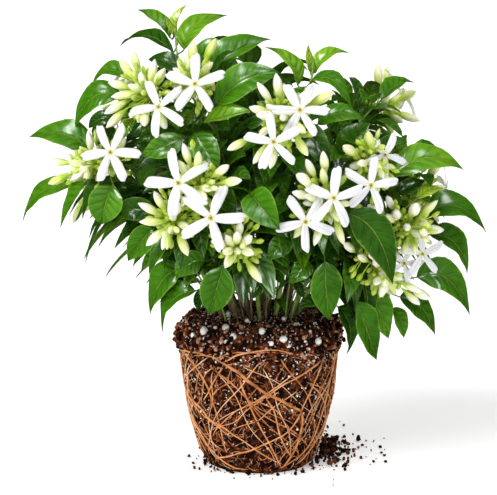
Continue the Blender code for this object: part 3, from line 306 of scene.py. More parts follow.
# The stems of the back: the foot on the soil in mm, the bearing of the hub in degrees,
# where 90 is straight back, its height in degrees above the canopy's middle, and flowers
BACK_STEMS = {
    "crown": ((1, 9), 84, 66, 0),
    "back_high_right": ((13, 7), 26, 31, 1),
    "back_high": ((5, 17), 93, 26, 1),
    "back_high_left": ((-11, 9), 155, 33, 1),
    "back_right": ((24, 4), 4, -8, 1),
    "back_low_right": ((15, 17), 58, -12, 1),
    "back_low_left": ((-9, 20), 122, -10, 1),
    "back_left": ((-22, 9), 173, -6, 0),
}
BACK_BUDS = 6
BACK_SMALL_BUDS = 1
BACK_FLOWER_REACH = 20 * MM
FAN_TILT = math.radians(52)
GOLDEN_ANGLE = 2.4
BACK_PAIRS = (0.42, 0.64, 0.86)
CROWN_PAIRS = (0.4, 0.6, 0.8, 0.97)
INNER_PAIRS = (0.5,)
PAIR_LEAF = 44 * MM
INNER_LEAF = 36 * MM
PAIR_SWINGS = (0, 0.35, -0.35, 0.7, -0.7, 1.05, -1.05, 1.4, -1.4)
PAIR_TWIGS = (9 * MM, 16 * MM)

# What only the scene has: small leaves and buds that fill the plant where there is room
FILLER_SHARES = np.linspace(0.1, 0.98, 17).tolist()
BARE_SHARE = 0.36
FILLER_LEAF = (22 * MM, 38 * MM)
MORE_LEAVES = (
    ((151, 117), (141, 124), (131, 135), 14, 0.82),
    ((215, 78), (228, 69), (240, 67), 12, 0.55),
    ((247, 124), (256, 122), (266, 116), 10, 0.9),
    ((160, 128), (150, 134), (138, 140), 14, 0.6),
    ((192, 111), (186, 119), (180, 128), 12, 0.6),
    ((216, 118), (223, 124), (230, 131), 12, 0.6),
    ((131, 120), (126, 129), (123, 139), 10, 0.7),
    ((262, 282), (257, 290), (252, 299), 10, 0.6),
    ((296, 282), (300, 290), (304, 298), 9, 0.6),
    ((152, 150), (143, 146), (134, 143), 11, 0.5),
    ((138, 123), (132, 131), (127, 141), 10, 0.55),
)
MORE_LEAF_TONES = "dmdmbmbddmd"
MORE_BUDS = ((224, 252), (239, 253), (309, 90), (306, 131), (284, 114), (270, 169), (416, 204),
             (426, 222), (417, 250), (388, 189), (373, 207), (322, 168), (297, 174), (304, 195),
             (368, 205), (394, 294), (380, 297), (376, 260), (370, 251), (142, 122),
             (213, 62), (70, 181), (108, 174), (64, 172), (207, 200), (173, 213), (252, 236),
             (256, 115), (253, 164), (350, 166), (303, 203), (386, 216), (377, 252),
             (137, 122), (145, 127), (166, 129), (125, 138), (178, 160), (179, 203), (190, 228),
             (213, 189), (211, 241), (238, 232), (226, 235), (294, 238), (266, 104), (395, 211),
             (387, 196), (382, 173), (358, 164), (365, 170), (353, 150), (339, 222), (405, 280),
             (422, 292), (60, 178), (68, 162), (96, 146), (120, 60), (140, 72), (165, 68))
SMALL_BUDS = ((198, 116), (141, 152), (149, 161), (192, 139), (228, 242), (156, 226),
              (165, 227), (178, 242), (184, 218), (171, 249), (258, 252), (289, 216), (207, 67),
              (199, 64), (214, 85), (208, 111), (354, 210), (388, 278), (393, 284), (398, 290),
              (350, 184), (357, 186), (362, 182), (344, 173), (440, 213), (410, 212), (405, 217),
              (120, 75), (128, 92), (136, 62), (125, 110), (70, 172), (66, 185), (270, 95),
              (288, 100), (262, 120), (292, 122), (338, 190))
SPRINKLED = 34
SPRINKLE_PX = 28
LONGEST_TWIG = 24 * MM
# Half-grown and young buds round a hub: how many, their tilt in degrees and their reach, of
# the young ones in mm
LUSH_BUDS, LUSH_TILT, LUSH_REACH = 13, (15, 80), (17 * MM, 28 * MM)
YOUNG_BUDS, YOUNG_TILT, YOUNG_REACH = 40, (20, 100), (11, 25)
SPARSE_SPRAYS = {"bottom": 3}
SIDE_BUD = (7 * MM, 11 * MM)
MORE_BEADS = ((259, 315), (227, 341), (217, 327), (194, 335), (304, 341), (284, 320), (288, 346),
              (247, 322), (271, 343), (309, 331), (294, 325), (228, 315))
# Side shoots: the stem each grows from and where, then its middle and its tip in the round
MORE_SHOOTS = (
    ("crown", 0.5, (-20, 0, 228), (-34, -18, 248)),
    ("crown", 0.55, (14, 0, 230), (24, -20, 246)),
    ("crown", 0.72, (-10, 14, 256), (-24, 10, 268)),
    ("crown", 0.35, (28, 6, 216), (46, -4, 242)),
    ("back_high_left", 0.6, (-50, 8, 235), (-66, -6, 262)),
    ("back_high_right", 0.6, (62, 4, 232), (80, -10, 256)),
    ("back_right", 0.6, (72, -16, 190), (96, -24, 205)),
    ("back_left", 0.6, (-76, -10, 192), (-100, -20, 205)),
    ("back_high", 0.5, (2, 34, 225), (14, 44, 262)),
    ("back_low_left", 0.5, (-40, 34, 172), (-62, 48, 168)),
    ("back_low_right", 0.5, (44, 32, 172), (66, 44, 166)),
    ("back_high", 0.4, (-16, 44, 188), (-30, 74, 204)),
)
SHOOT_RADII = (1.0 * MM, TWIG_RADIUS)
SHOOT_SHARES = (0.35, 0.55, 0.75, 0.95)
SHOOT_LEAF = (24 * MM, 36 * MM)
# The thin twigs and the small leaves that stand between the stems
TWIGS = 90
TWIG_RADII = (0.85 * MM, 0.4 * MM)
TWIG_SHARES = (0.6, 0.95)
TWIG_FOOT = (5 * MM, 36 * MM)
TWIG_RISE = (30 * MM, 78 * MM)
TWIG_LEAF = (13 * MM, 24 * MM)
# Tones of the face's leaves in their order, from l lime through b, g, m and n to d dark
LEAF_TONES = "gdglldmmmbmmdmmmmdmmmbllbmmmdgdlnmdnnnnmmdnmmdmmnnmndd"
TONES = {"l": 1.0, "b": 0.72, "g": 0.58, "m": 0.45, "n": 0.3, "d": 0.15}


def spot(x_px, y_px, toward):
    """The point seen at a place in the picture, at a distance towards the viewer."""
    eye = AIM + SIGHT * CAMERA_DISTANCE
    aside = (x_px - FRAME_MIDDLE_PX[0]) * PIXEL
    above = (FRAME_MIDDLE_PX[1] - y_px) * PIXEL
    ray = Vector((aside, 0, 0)) + PICTURE_UP * above - SIGHT * CAMERA_DISTANCE
    return eye + ray * ((-toward - eye.y) / ray.y)


def seen_at(place):
    """Where in the picture a point is seen."""
    way = place - AIM - SIGHT * CAMERA_DISTANCE
    scale = -CAMERA_DISTANCE / way.dot(SIGHT) / PIXEL
    return (FRAME_MIDDLE_PX[0] + way.x * scale,
            FRAME_MIDDLE_PX[1] - way.dot(PICTURE_UP) * scale)


def bulge(x_px, y_px):
    """How far the canopy's face lies towards the viewer at a place in the picture."""
    across = (x_px - CANOPY_MIDDLE_PX[0]) / CANOPY_ACROSS_PX
    down = y_px - CANOPY_MIDDLE_PX[1]
    down /= CANOPY_BELOW_PX if down > 0 else CANOPY_ABOVE_PX
    return CANOPY_BULGE * math.sqrt(max(0.0, 1 - across * across - down * down))


def in_canopy(bearing, elevation, share):
    """A point of the canopy in the round, at a share of its radius."""
    flat = math.cos(elevation)
    way = Vector((flat * math.cos(bearing), flat * math.sin(bearing), math.sin(elevation)))
    return CANOPY_CENTRE + way * CANOPY_RADII * share


def ball_radius(height):
    """The root ball's radius at a height."""
    heights, radii = zip(*BALL_PROFILE)
    return float(np.interp(height, heights, radii, right=0.0))


def on_ball(x_px, y_px, lift):
    """The point seen at a place in the picture on the root ball, lifted off its surface."""
    best, least = None, math.inf
    for step in range(120):
        place = spot(x_px, y_px, (62 - step) * MM)
        excess = place.xy.length - ball_radius(place.z)
        if excess < least:
            best, least = place, excess
        if excess <= 0:
            break
    return hugging(best, lift)


def hugging(place, lift):
    """The place, brought level with the root ball's surface and lifted off it."""
    height = max(place.z, ROOT_LOWEST)
    out = place.xy.normalized() * (ball_radius(height) + lift)
    return Vector((out.x, out.y, height))


def within(value, low, high):
    """value, kept between low and high."""
    return max(low, min(high, value))


def some(span, draw):
    """A random value of a span."""
    return span[0] + (span[1] - span[0]) * draw.random()


def square_to(vector, axis):
    """The part of vector that is square to axis, as a unit vector."""
    return (vector - axis * vector.dot(axis)).normalized()


def through(start, middle, end, share):
    """A point on the parabola from start to end that passes through middle."""
    pull = middle * 2 - (start + end) / 2
    rest = 1 - share
    return start * rest * rest + pull * 2 * rest * share + end * share * share


def cubic(points, share):
    """A point on a cubic Bezier curve."""
    start, first, second, end = points
    rest = 1 - share
    return (
        start * rest**3 + first * 3 * rest * rest * share
        + second * 3 * rest * share * share + end * share**3
    )


def smooth_path(points, count):
    """So many points along a Catmull-Rom curve through the given ones."""
    padded = [points[0] * 2 - points[1], *points, points[-1] * 2 - points[-2]]
    path = []
    for place in np.linspace(0, len(points) - 1, count):
        number = min(int(place), len(points) - 2)
        before, start, end, after = padded[number:number + 4]
        pulls = (start, start + (end - before) / 6, end - (after - start) / 6, end)
        path.append(cubic(pulls, place - number))
    return path


def ring(centre, axis, radius, sides, first=None):
    """A regular ring of points round an axis, counted from a direction square to it."""
    first = first or axis.orthogonal().normalized()
    second = axis.cross(first)
    turns = (TAU * k / sides for k in range(sides))
    return [centre + (first * math.cos(a) + second * math.sin(a)) * radius for a in turns]


def box_ring(centre, side, normal, half_width, half_depth):
    """The four corners of a flat section."""
    corners = ((1, 1), (-1, 1), (-1, -1), (1, -1))
    return [centre + side * half_width * a + normal * half_depth * b for a, b in corners]


def loft(rings):
    """Vertices and faces of the closed skin over unlike sections; one point is a tip."""
    points = [point for one in rings for point in one]
    faces = [tuple(range(len(rings[0])))[::-1]]
    start = 0
    for low, high in zip(rings, rings[1:]):
        count, above = len(low), start + len(low)
        for k in range(count):
            after = (k + 1) % count
            if len(high) == 1:
                faces.append((start + k, start + after, above))
            else:
                faces.append((start + k, start + after, above + after, above + k))
        start = above
    if len(rings[-1]) > 1:
        faces.append(tuple(range(start, start + len(rings[-1]))))
    return points, faces


def sleeve(path, radii, margin):
    """A closed skin that keeps a margin round a tube, for finding out what it would cross."""
    corners = [path[0] * 2 - path[1], *path, path[-1] * 2 - path[-2]]
    rows = []
    for before, here, after, radius in zip(corners, path, corners[2:], radii):
        rows.append(ring(here, (after - before).normalized(), radius + margin, 6))
    return loft(rows)


class Wood:
    """A stem or a twig, as a path of straight pieces that its leaves find places on."""

    def at(self, share):
        low, high, part = self.piece(share)
        return low.lerp(high, part)

    def along(self, share):
        low, high, _ = self.piece(share)
        return (high - low).normalized()


class Stem(Wood):
    """A stem from its hole in the soil to its spray: straight at first, then a curve."""

    def __init__(self, name, foot, hub):
        self.name, self.hub, self.has_spray = name, hub, name != "crown"
        base = Vector((foot[0] * MM, foot[1] * MM, SOIL_TOP - HOLE_DEPTH + SEAT_GAP))
        lean = (hub - base) * STEM_SPREAD
        self.rise = Vector((lean.x, lean.y, STEM_RISE)).normalized()
        self.outward = (hub - CANOPY_CENTRE).normalized()
        bend, end = base + self.rise * STEM_STRAIGHT, hub - self.outward * 6 * MM
        reach = (end - bend).length
        pulls = (bend, bend + self.rise * reach * 0.38, end - self.outward * reach * 0.32, end)
        self.path = [base] + [cubic(pulls, k / STEM_PIECES) for k in range(STEM_PIECES + 1)]
        narrowing = np.linspace(STEM_RADIUS, STEM_TIP_RADIUS, STEM_PIECES + 1)
        self.radii = [STEM_FOOT_RADIUS, *narrowing.tolist()]

    def piece(self, share):
        """The straight piece that a share of the curved stretch falls in, and where in it."""
        place = within(share, 0, 0.999) * STEM_PIECES
        number = int(place)
        return self.path[1 + number], self.path[2 + number], place - number

    def stalk(self):
        """The spray's own stalk, which stands on the stem's end and runs on past the hub."""
        return [self.path[-1] + self.along(1) * SEAT_GAP, self.hub + self.outward * 5 * MM]

    def on_stalk(self, share):
        return self.hub + self.outward * (9 * share - 4) * MM


class Twig(Wood):
    """A thin shoot from a root through a middle to a tip, which carries pairs of leaves."""

    def __init__(self, name, root, middle, tip, radii, steps=6):
        self.name, self.outward, self.steps = name, (tip - root).normalized(), steps
        self.path = [through(root, middle, tip, k / steps) for k in range(steps + 1)]
        self.radii = np.linspace(*radii, steps + 1).tolist()

    def piece(self, share):
        number = int(share * self.steps * 0.999)
        return self.path[number], self.path[number + 1], share * self.steps - number

    def sleeve(self, start=0, margin=0.0):
        return sleeve(self.path[start:], self.radii[start:], margin)


class Leaf:
    """A blade on its petiole: foot, middle of the midrib, tip, face direction and width."""

    def __init__(self, foot, middle, tip, normal, width, blade):
        self.foot, self.middle, self.tip = foot, middle, tip
        self.normal, self.width, self.blade = normal, width, blade
        self.stem, self.root, self.tone = None, None, None

    def moved(self, foot_by, tip_by):
        """The same leaf bent in depth, its foot and its tip each by a vector."""
        half = (foot_by + tip_by) / 2
        return Leaf(self.foot + foot_by, self.middle + half, self.tip + tip_by,
                    self.normal, self.width, self.blade)

    def at(self, share):
        return through(self.foot, self.middle, self.tip, share)

    def frame(self, share):
        """The side and the upper normal of the blade there."""
        along = (self.at(min(1, share + 0.05)) - self.at(max(0, share - 0.05))).normalized()
        normal = square_to(self.normal, along)
        return along.cross(normal), normal

    def rings(self, margin=0.0):
        """Sections from the root inside the stem, along the petiole and over the blade."""
        twig = (self.foot - self.root).normalized()
        knee = (twig + (self.at(0.05) - self.foot).normalized()).normalized()
        side = square_to(self.frame(0.0)[0], knee)
        root_side = square_to(side, twig)
        wide, deep = TWIG_RADIUS + margin, BLADE_THICKNESS / 2 + margin
        rows = [
            box_ring(self.root, root_side, root_side.cross(twig), wide, wide),
            box_ring(self.foot, side, side.cross(knee), wide, wide),
        ]
        for share, part in self.blade:
            half_width = part * self.width / 2 + margin
            rows.append(box_ring(self.at(share), *self.frame(share), half_width, deep))
        return rows + [[self.tip]]


class Bud:
    """A bud on its pedicel: the root on the stalk, then a spindle that ends in a point."""

    def __init__(self, stem, root, tip, large, size):
        self.stem, self.root, self.tip, self.large, self.size = stem, root, tip, large, size

    def rings(self, margin=0.0):
        axis = (self.tip - self.root).normalized()
        length = min(BUD_LENGTH, (self.tip - self.root).length * 0.72)
        if self.large:
            sides, foot, body = 4, 0.55 * MM, ((length, 1.0 * MM), (length * 0.5, BUD_RADIUS))
        else:
            sides, foot, body = 3, 0.5 * MM, ((1.9 * MM, SMALL_BUD_RADIUS),)
        rows = [ring(self.root, axis, foot + margin, sides)]
        rows += [ring(self.tip - axis * back, axis, radius + margin, sides)
                 for back, radius in body]
        return rows + [[self.tip]]


class Flower:
    """An open flower: five or six petals spread square to its tube."""

    def __init__(self, stem, name, centre, facing, petals, roll, reach):
        self.stem, self.name, self.centre, self.facing = stem, name, centre, facing
        self.petals, self.roll, self.reach = petals, roll, reach
        self.up = square_to(PICTURE_UP, facing)
        self.right = self.up.cross(facing)
        self.calyx = centre - facing * TUBE_LENGTH

    def place(self, angle, out, aside, lift):
        """A point of the face: turned clockwise from the top, out along that petal."""
        along = self.up * math.cos(angle) + self.right * math.sin(angle)
        across = self.facing.cross(along)
        return self.centre + (along * out + across * aside + self.facing * lift) * self.reach

    def star(self):
        """The open sheet of the petals: a small middle and one oblong strip a petal."""
        count = self.petals
        step = TAU / count
        wide = 0.95 / count
        angles = [self.roll + step * k for k in range(count)]
        points = [self.place(angle - step / 2, 0.12, 0, 0) for angle in angles]
        faces = [tuple(range(count))]
        for k, angle in enumerate(angles):
            start, after = len(points), (k + 1) % count
            points += [self.place(angle, *corner) for corner in (
                (0.6, wide, 0.03), (0.6, -wide, 0.03),
                (0.93, -wide * 0.75, -0.04), (1.0, wide * 0.4, -0.06))]
            faces += [(k, after, start + 1, start), (start, start + 1, start + 2, start + 3)]
        return points, faces

    def slab(self):
        """The star's two sides, for finding out what it would cross."""
        points, faces = self.star()
        count = len(points)
        back = [point - self.facing * PETAL_THICKNESS for point in points]
        return points + back, faces + [tuple(k + count for k in face) for face in faces]

    def tube(self):
        return [self.calyx, self.centre - self.facing * PETAL_THICKNESS / 2]

    def pedicel(self, margin=0.0):
        """Sections of the pedicel, which bends into line with the tube just under it."""
        root, seat = self.stem.on_stalk(0.15), self.calyx - self.facing * SEAT_GAP
        knee = seat - self.facing * PEDICEL_KNEE
        run = (knee - root).normalized()
        hinge = run.cross(self.facing)
        hinge = hinge.normalized() if hinge.length > 0.01 else run.orthogonal().normalized()
        rows = [ring(root, run, PEDICEL_RADIUS + margin, 4, hinge)]
        if run.dot(self.facing) < 0.7:
            middle = (run + self.facing).normalized()
            rows.append(ring(knee, middle, PEDICEL_RADIUS + margin, 4, hinge))
        return rows + [ring(seat, self.facing, CALYX_RADIUS + margin, 4, hinge)]


def leaf_from_picture(row, draw):
    """A leaf of the face: its blade is rolled until it looks as wide as the picture shows."""
    foot_px, middle_px, tip_px, seen_px, share = row
    run = math.dist(foot_px, tip_px) * PIXEL
    rim = 1 - bulge(*middle_px) / CANOPY_BULGE
    shift = (draw.random() - 0.5) * RIM_SPREAD * rim
    foot_toward = bulge(*foot_px) * share * FOOT_BEHIND + shift
    sway = bulge(*tip_px) * share + shift - foot_toward
    sway = within(sway, -LEAF_SWAY * run, LEAF_SWAY * run)
    foot = spot(*foot_px, foot_toward)
    middle = spot(*middle_px, foot_toward + sway / 2 + LEAF_ARCH * run)
    tip = spot(*tip_px, foot_toward + sway)
    along = (tip - foot).normalized()
    length = (middle - foot).length + (tip - middle).length
    width = max(seen_px * PIXEL, min(length * LEAF_WIDTH_SHARE, LEAF_WIDEST))
    seen = within(seen_px * PIXEL / width, 0.2, 1.0)
    open_face = square_to(SIGHT, along)
    edge_face = along.cross(open_face)
    if edge_face.z < 0:
        edge_face.negate()
    normal = open_face * seen + edge_face * math.sqrt(1 - seen * seen)
    blade = BROAD_BLADE if seen_px * PIXEL > BROAD_FROM else PLAIN_BLADE
    return Leaf(foot, middle, tip, normal, width, blade)


def bud_tip(stem, x_px, y_px, out):
    """A bud's tip as the picture shows it, so far out of the canopy's face but near its hub."""
    hub_toward = -stem.hub.y
    toward = within(bulge(x_px, y_px) + out, hub_toward - BUD_BEHIND, hub_toward + BUD_AHEAD)
    return spot(x_px, y_px, toward)


def fanned(stem, turn, tilt):
    """A direction tilted off the stem's outward one, and turned round it."""
    aside = Matrix.Rotation(turn, 3, stem.outward) @ square_to(UP, stem.outward)
    return stem.outward * math.cos(tilt) + aside * math.sin(tilt)


def pair_leaf(stem, share, side, turn, length, twig):
    """One leaf of an opposite pair on a stem: it leaves sideways, spreads out and droops."""
    along = stem.along(share)
    across = square_to(Matrix.Rotation(turn, 3, along) @ Vector((0.2, 0.1, 1)), along) * side
    heading = (across * 0.85 + stem.outward * 0.5 + UP * 0.15).normalized()
    root = stem.at(share)
    foot = root + heading * twig
    tip = foot + heading * length - UP * 0.25 * length
    middle = (foot + tip) / 2 + UP * 0.14 * length
    normal = square_to(UP + stem.outward * 0.6, (tip - foot).normalized())
    leaf = Leaf(foot, middle, tip, normal, length * LEAF_WIDTH_SHARE, PLAIN_BLADE)
    leaf.stem, leaf.root = stem, root
    return leaf


class Placed:
    """What stands in place so far. A new piece is tried against all of it."""

    MOST = 6000

    def __init__(self):
        self.owners, self.trees = [], []
        self.lows, self.highs = np.full((self.MOST, 3), np.inf), np.full((self.MOST, 3), -np.inf)

    def add(self, owner, points, faces):
        number = len(self.owners)
        self.lows[number], self.highs[number] = self.box(points)
        self.owners.append(owner)
        self.trees.append(BVHTree.FromPolygons(points, faces))

    @staticmethod
    def box(points):
        places = np.array([tuple(point) for point in points])
        return places.min(axis=0), places.max(axis=0)

    def is_clear(self, points, faces, allowed=()):
        """Whether a piece crosses nothing, apart from what it is allowed to cross."""
        low, high = self.box(points)
        near = (low <= self.highs).all(axis=1) & (high >= self.lows).all(axis=1)
        tree = None
        for number in np.flatnonzero(near):
            if self.owners[number] in allowed:
                continue
            tree = tree or BVHTree.FromPolygons(points, faces)
            if tree.overlap(self.trees[number]):
                return False
        return True


class Plant:
    """Every stem, spray, leaf, bud and flower in its place, in the order of the steps below.

    The first steps, up to the pairs, are those of the solids.
    """

    def __init__(self):
        self.placed = Placed()
        self.stems, self.shoots, self.twigs = {}, [], []
        self.leaves, self.buds, self.flowers = [], [], []
        self.set_ball()
        self.set_stems()
        self.set_shoots()
        self.set_flowers()
        self.set_stalks()
        self.set_buds()
        self.set_face_leaves(FACE_LEAVES, LEAF_TONES, 11)
        self.set_pairs()
        self.set_face_leaves(MORE_LEAVES, MORE_LEAF_TONES, 12)
        self.large_leaves = len(self.leaves)
        self.set_picture_buds()
        self.set_small_buds()
        self.set_lush_buds()
        self.set_side_buds()
        self.set_more_shoots()
        self.set_fillers()
        self.set_twigs()
        self.set_young_buds()

    def drawn(self, seed, sprays_only=False):
        """Each stem, or each that has a spray, with its own random draws."""
        for number, stem in enumerate(self.stems.values()):
            if stem.has_spray or not sprays_only:
                yield stem, np.random.default_rng(seed + number)

    def set_ball(self):
        """A plain drum in the ball's place, so that leaves and stalks stay clear of it."""
        drum = [ring(UP * height, UP, radius + BALL_MARGIN, 16) for height, radius in BALL_PROFILE]
        self.placed.add("ball", *loft(drum))

    def set_stems(self):
        for name, spray in FACE_SPRAYS.items():
            hub = spot(*spray.hub, bulge(*spray.hub) - HUB_DEPTH)
            self.stems[name] = Stem(name, spray.foot, hub)
        for name, (foot, bearing, elevation, _) in BACK_STEMS.items():
            hub = in_canopy(math.radians(bearing), math.radians(elevation), HUB_SHARE)
            self.stems[name] = Stem(name, foot, hub)
        for stem in self.stems.values():
            self.placed.add("stem " + stem.name, *sleeve(stem.path, stem.radii, 0.0))

    def set_shoots(self):
        """Side shoots that carry the youngest leaves above the sprays."""
        for name, middle, tip in YOUNG_SHOOTS:
            stem = self.stems[name]
            middle, tip = (spot(x, y, toward * MM) for x, y, toward in (middle, tip))
            shares = [k / 20 for k in range(8, 16)]
            share = min(shares, key=lambda s: (stem.at(s) - middle).length)
            self.keep_shoot(stem, Twig(name, stem.at(share), middle, tip, SHOOT_RADII, 4))

    def keep_shoot(self, stem, twig):
        self.shoots.append((stem, twig))
        self.placed.add("stem " + stem.name, *twig.sleeve())

    def set_flowers(self):
        for name, spray in FACE_SPRAYS.items():
            for number, (x, y, petals, roll, reach, out) in enumerate(spray.flowers):
                centre = spot(x, y, bulge(x, y) + out * MM)
                outward = (centre - CANOPY_CENTRE).normalized()
                facing = (SIGHT + outward * FLOWER_LEAN).normalized()
                self.set_flower(self.stems[name], f"_{number + 1}", centre, facing, petals,
                                math.radians(roll), reach * PIXEL)
        for number, (name, (_, _, _, count)) in enumerate(BACK_STEMS.items()):
            if count:
                stem = self.stems[name]
                facing = (stem.outward + UP * 0.2).normalized()
                centre = stem.hub + facing * HUB_DEPTH
                self.set_flower(stem, "", centre, facing, 5, 0.9 * number, BACK_FLOWER_REACH)

    def set_flower(self, stem, suffix, *form):
        flower = Flower(stem, "bloom_" + stem.name + suffix, *form)
        self.flowers.append(flower)
        self.placed.add(flower.name, *flower.slab())
        self.placed.add(flower.name, *sleeve(flower.tube(), (TUBE_RADIUS, TUBE_RADIUS), 0.0))

    def set_stalks(self):
        for stem in self.stems.values():
            if stem.has_spray:
                skin = sleeve(stem.stalk(), (STALK_RADIUS, STALK_RADIUS), 0.0)
                self.placed.add("spray " + stem.name, *skin)
        for flower in self.flowers:
            self.placed.add("spray " + flower.stem.name, *loft(flower.pedicel()))

    def set_buds(self):
        """The buds that the picture shows, and behind the same number on each spray."""
        for stem, draw in self.drawn(100, sprays_only=True):
            spray = FACE_SPRAYS.get(stem.name)
            if spray:
                wanted = [(bud_tip(stem, *place, LARGE_BUD_OUT), True) for place in spray.buds]
                wanted += [(bud_tip(stem, *place, SMALL_BUD_OUT), False)
                           for place in spray.small]
            else:
                wanted = self.fan_of_buds(stem, draw)
            for k, (tip, large) in enumerate(wanted):
                self.set_bud(stem, stem.on_stalk(k / (len(wanted) - 1)), tip, large)

    def fan_of_buds(self, stem, draw):
        """The tips of buds that fan out round the stem's end, a golden angle apart."""
        wanted = []
        for k in range(BACK_BUDS + BACK_SMALL_BUDS):
            heading = fanned(stem, GOLDEN_ANGLE * k + draw.random() * 0.5,
                             FAN_TILT * (0.75 + 0.5 * draw.random()))
            shortest, more = (30, 8) if k < BACK_BUDS else (15, 7)
            length = (shortest + more * draw.random()) * MM
            wanted.append((stem.hub + heading * length, k < BACK_BUDS))
        return wanted

    def set_bud(self, stem, root, tip, large, size=1.0, bends=BUD_BENDS, crowded=(False, True)):
        """Tries a bud, also bent in and out, until its body crosses nothing.

        Its pedicel may cross its own spray. Where it is crowded, so may its body.
        """
        spray = "spray " + stem.name
        for close in crowded:
            for bend in bends:
                bud = Bud(stem, root, tip + SIGHT * bend * MM, large, size)
                rows = bud.rings(CLEARANCE)
                if not close and not self.placed.is_clear(*loft(rows[1:])):
                    continue
                if self.placed.is_clear(*loft(rows), allowed=(spray,)):
                    self.buds.append(bud)
                    self.placed.add(spray, *loft(bud.rings()))
                    return

    def set_young_bud(self, stem, root, tip):
        """A small green bud, if there is room for it as it is."""
        self.set_bud(stem, root, tip, False, bends=(0,), crowded=(False,))

    def seats(self, foot, heading):
        """Places that a petiole could grow from, the nearest and straightest first."""
        found = [(stem, stem.at(k / 40)) for stem in self.stems.values() for k in range(3, 40)]
        for stem, twig in self.shoots:
            for low, high in zip(twig.path[1:], twig.path[2:]):
                found += [(stem, low.lerp(high, part)) for part in (0.2, 0.6, 0.95)]
        ranked = []
        for stem, root in found:
            reach = (foot - root).length
            bend = 1 - (foot - root).normalized().dot(heading)
            if bend < 1.3 and reach > 3 * MM:
                slack = reach * (1 + 0.4 * bend) + max(0.0, root.z - foot.z) * 0.4
                ranked.append((slack, len(ranked), stem, root))
        ranked.sort(key=lambda seat: seat[:2])
        best, taken = [], {}
        for _, _, stem, root in ranked:
            if taken.get(stem.name, 0) < 4 and len(taken | {stem.name: 0}) <= 4:
                taken[stem.name] = taken.get(stem.name, 0) + 1
                best.append((stem, root))
        return best

    def set_face_leaves(self, rows, letters, seed):
        """Leaves that the picture shows, each in its tone."""
        draw = np.random.default_rng(seed)
        for row, letter in zip(rows, letters):
            wanted = leaf_from_picture(row, draw)
            if self.try_leaf(wanted):
                self.leaves[-1].tone = TONES[letter]

    def try_leaf(self, wanted):
        """Tries a leaf from the nearest stems, bent in and out until it crosses nothing."""
        for loose in (False, True):
            for bend in LEAF_BENDS:
                shift = SIGHT * bend * MM
                for foot_share in (1.0, 0.4):
                    leaf = wanted.moved(shift * foot_share, shift)
                    heading = (leaf.middle - leaf.foot).normalized()
                    for stem, root in self.seats(leaf.foot, heading):
                        leaf.stem, leaf.root = stem, root
                        if self.fits(leaf, loose):
                            return True
        return False

    def fits(self, leaf, loose=False):
        """Keeps a leaf that crosses nothing but its stem, or at most leaves of that stem."""
        own_stem, own_leaves = "stem " + leaf.stem.name, "leaves " + leaf.stem.name
        rows = leaf.rings(CLEARANCE)
        if not loose and not self.placed.is_clear(*loft(rows[1:]), allowed=(own_stem,)):
            return False
        if not self.placed.is_clear(*loft(rows), allowed=(own_stem, own_leaves)):
            return False
        self.leaves.append(leaf)
        self.placed.add(own_leaves, *loft(leaf.rings()))
        return True

    def set_pairs(self):
        """Opposite pairs of leaves, each pair square to the last, wherever there is room."""
        for stem, draw in self.drawn(300):
            if stem.name in FACE_SPRAYS:
                shares, length = INNER_PAIRS, INNER_LEAF
            else:
                shares, length = BACK_PAIRS if stem.has_spray else CROWN_PAIRS, PAIR_LEAF
            for k, share in enumerate(shares):
                for side in (1, -1):
                    size = length * (0.85 + 0.3 * draw.random())
                    self.try_pair_leaf(stem, share, side, k * math.pi / 2, size)

    def try_pair_leaf(self, stem, share, side, turn, size):
        for shrink, swing, twig in itertools.product((1.0, 0.8), PAIR_SWINGS, PAIR_TWIGS):
            if self.fits(pair_leaf(stem, share, side, turn + swing, size * shrink, twig)):
                return

    def set_picture_buds(self):
        """More of the large buds that the picture shows, each on the nearest spray."""
        for number, place in enumerate(MORE_BUDS):
            name = min(FACE_SPRAYS, key=lambda one: math.dist(FACE_SPRAYS[one].hub, place))
            stem = self.stems[name]
            tip = bud_tip(stem, *place, LARGE_BUD_OUT)
            self.set_bud(stem, stem.on_stalk(number * 0.37 % 1), tip, True)

    def set_small_buds(self):
        """The small green buds of the picture, each off the pedicel of the nearest large one.

        More are sprinkled evenly in front of each spray, at hub + SPRINKLE_PX x sqrt(random).
        """
        draw = np.random.default_rng(640)
        places = list(SMALL_BUDS)
        for spray in FACE_SPRAYS.values():
            for turn, out in draw.random((SPRINKLED, 2)):
                reach, turn = SPRINKLE_PX * math.sqrt(out), turn * TAU
                places.append((spray.hub[0] + reach * math.cos(turn),
                               spray.hub[1] + reach * math.sin(turn)))
        forks = []
        for bud, part in itertools.product(self.buds, (0.25, 0.4)):
            fork = bud.root.lerp(bud.tip, part)
            if bud.large:
                forks.append((bud.stem, fork, seen_at(fork)))
        for x, y in places:
            stem, fork, _ = min(forks, key=lambda one: math.dist(one[2], (x, y)))
            tip = spot(x, y, -fork.y + 6 * MM)
            if (tip - fork).length < LONGEST_TWIG:
                self.set_young_bud(stem, fork, tip)

    def fans(self, seed, count, tilts):
        """Directions of so many buds round each spray's hub, a golden angle apart."""
        for stem, draw in self.drawn(seed, sprays_only=True):
            for k in range(count):
                turn = GOLDEN_ANGLE * k + draw.random()
                yield k, stem, fanned(stem, turn, math.radians(some(tilts, draw))), draw

    def set_lush_buds(self):
        """Half-grown buds round each hub, as many as there is room for."""
        for k, stem, heading, draw in self.fans(600, LUSH_BUDS, LUSH_TILT):
            if k < SPARSE_SPRAYS.get(stem.name, LUSH_BUDS):
                tip = stem.hub + heading * some(LUSH_REACH, draw)
                size = 0.42 + 0.5 * (k * 0.618 % 1)
                self.set_bud(stem, stem.on_stalk(draw.random()), tip, True, size)

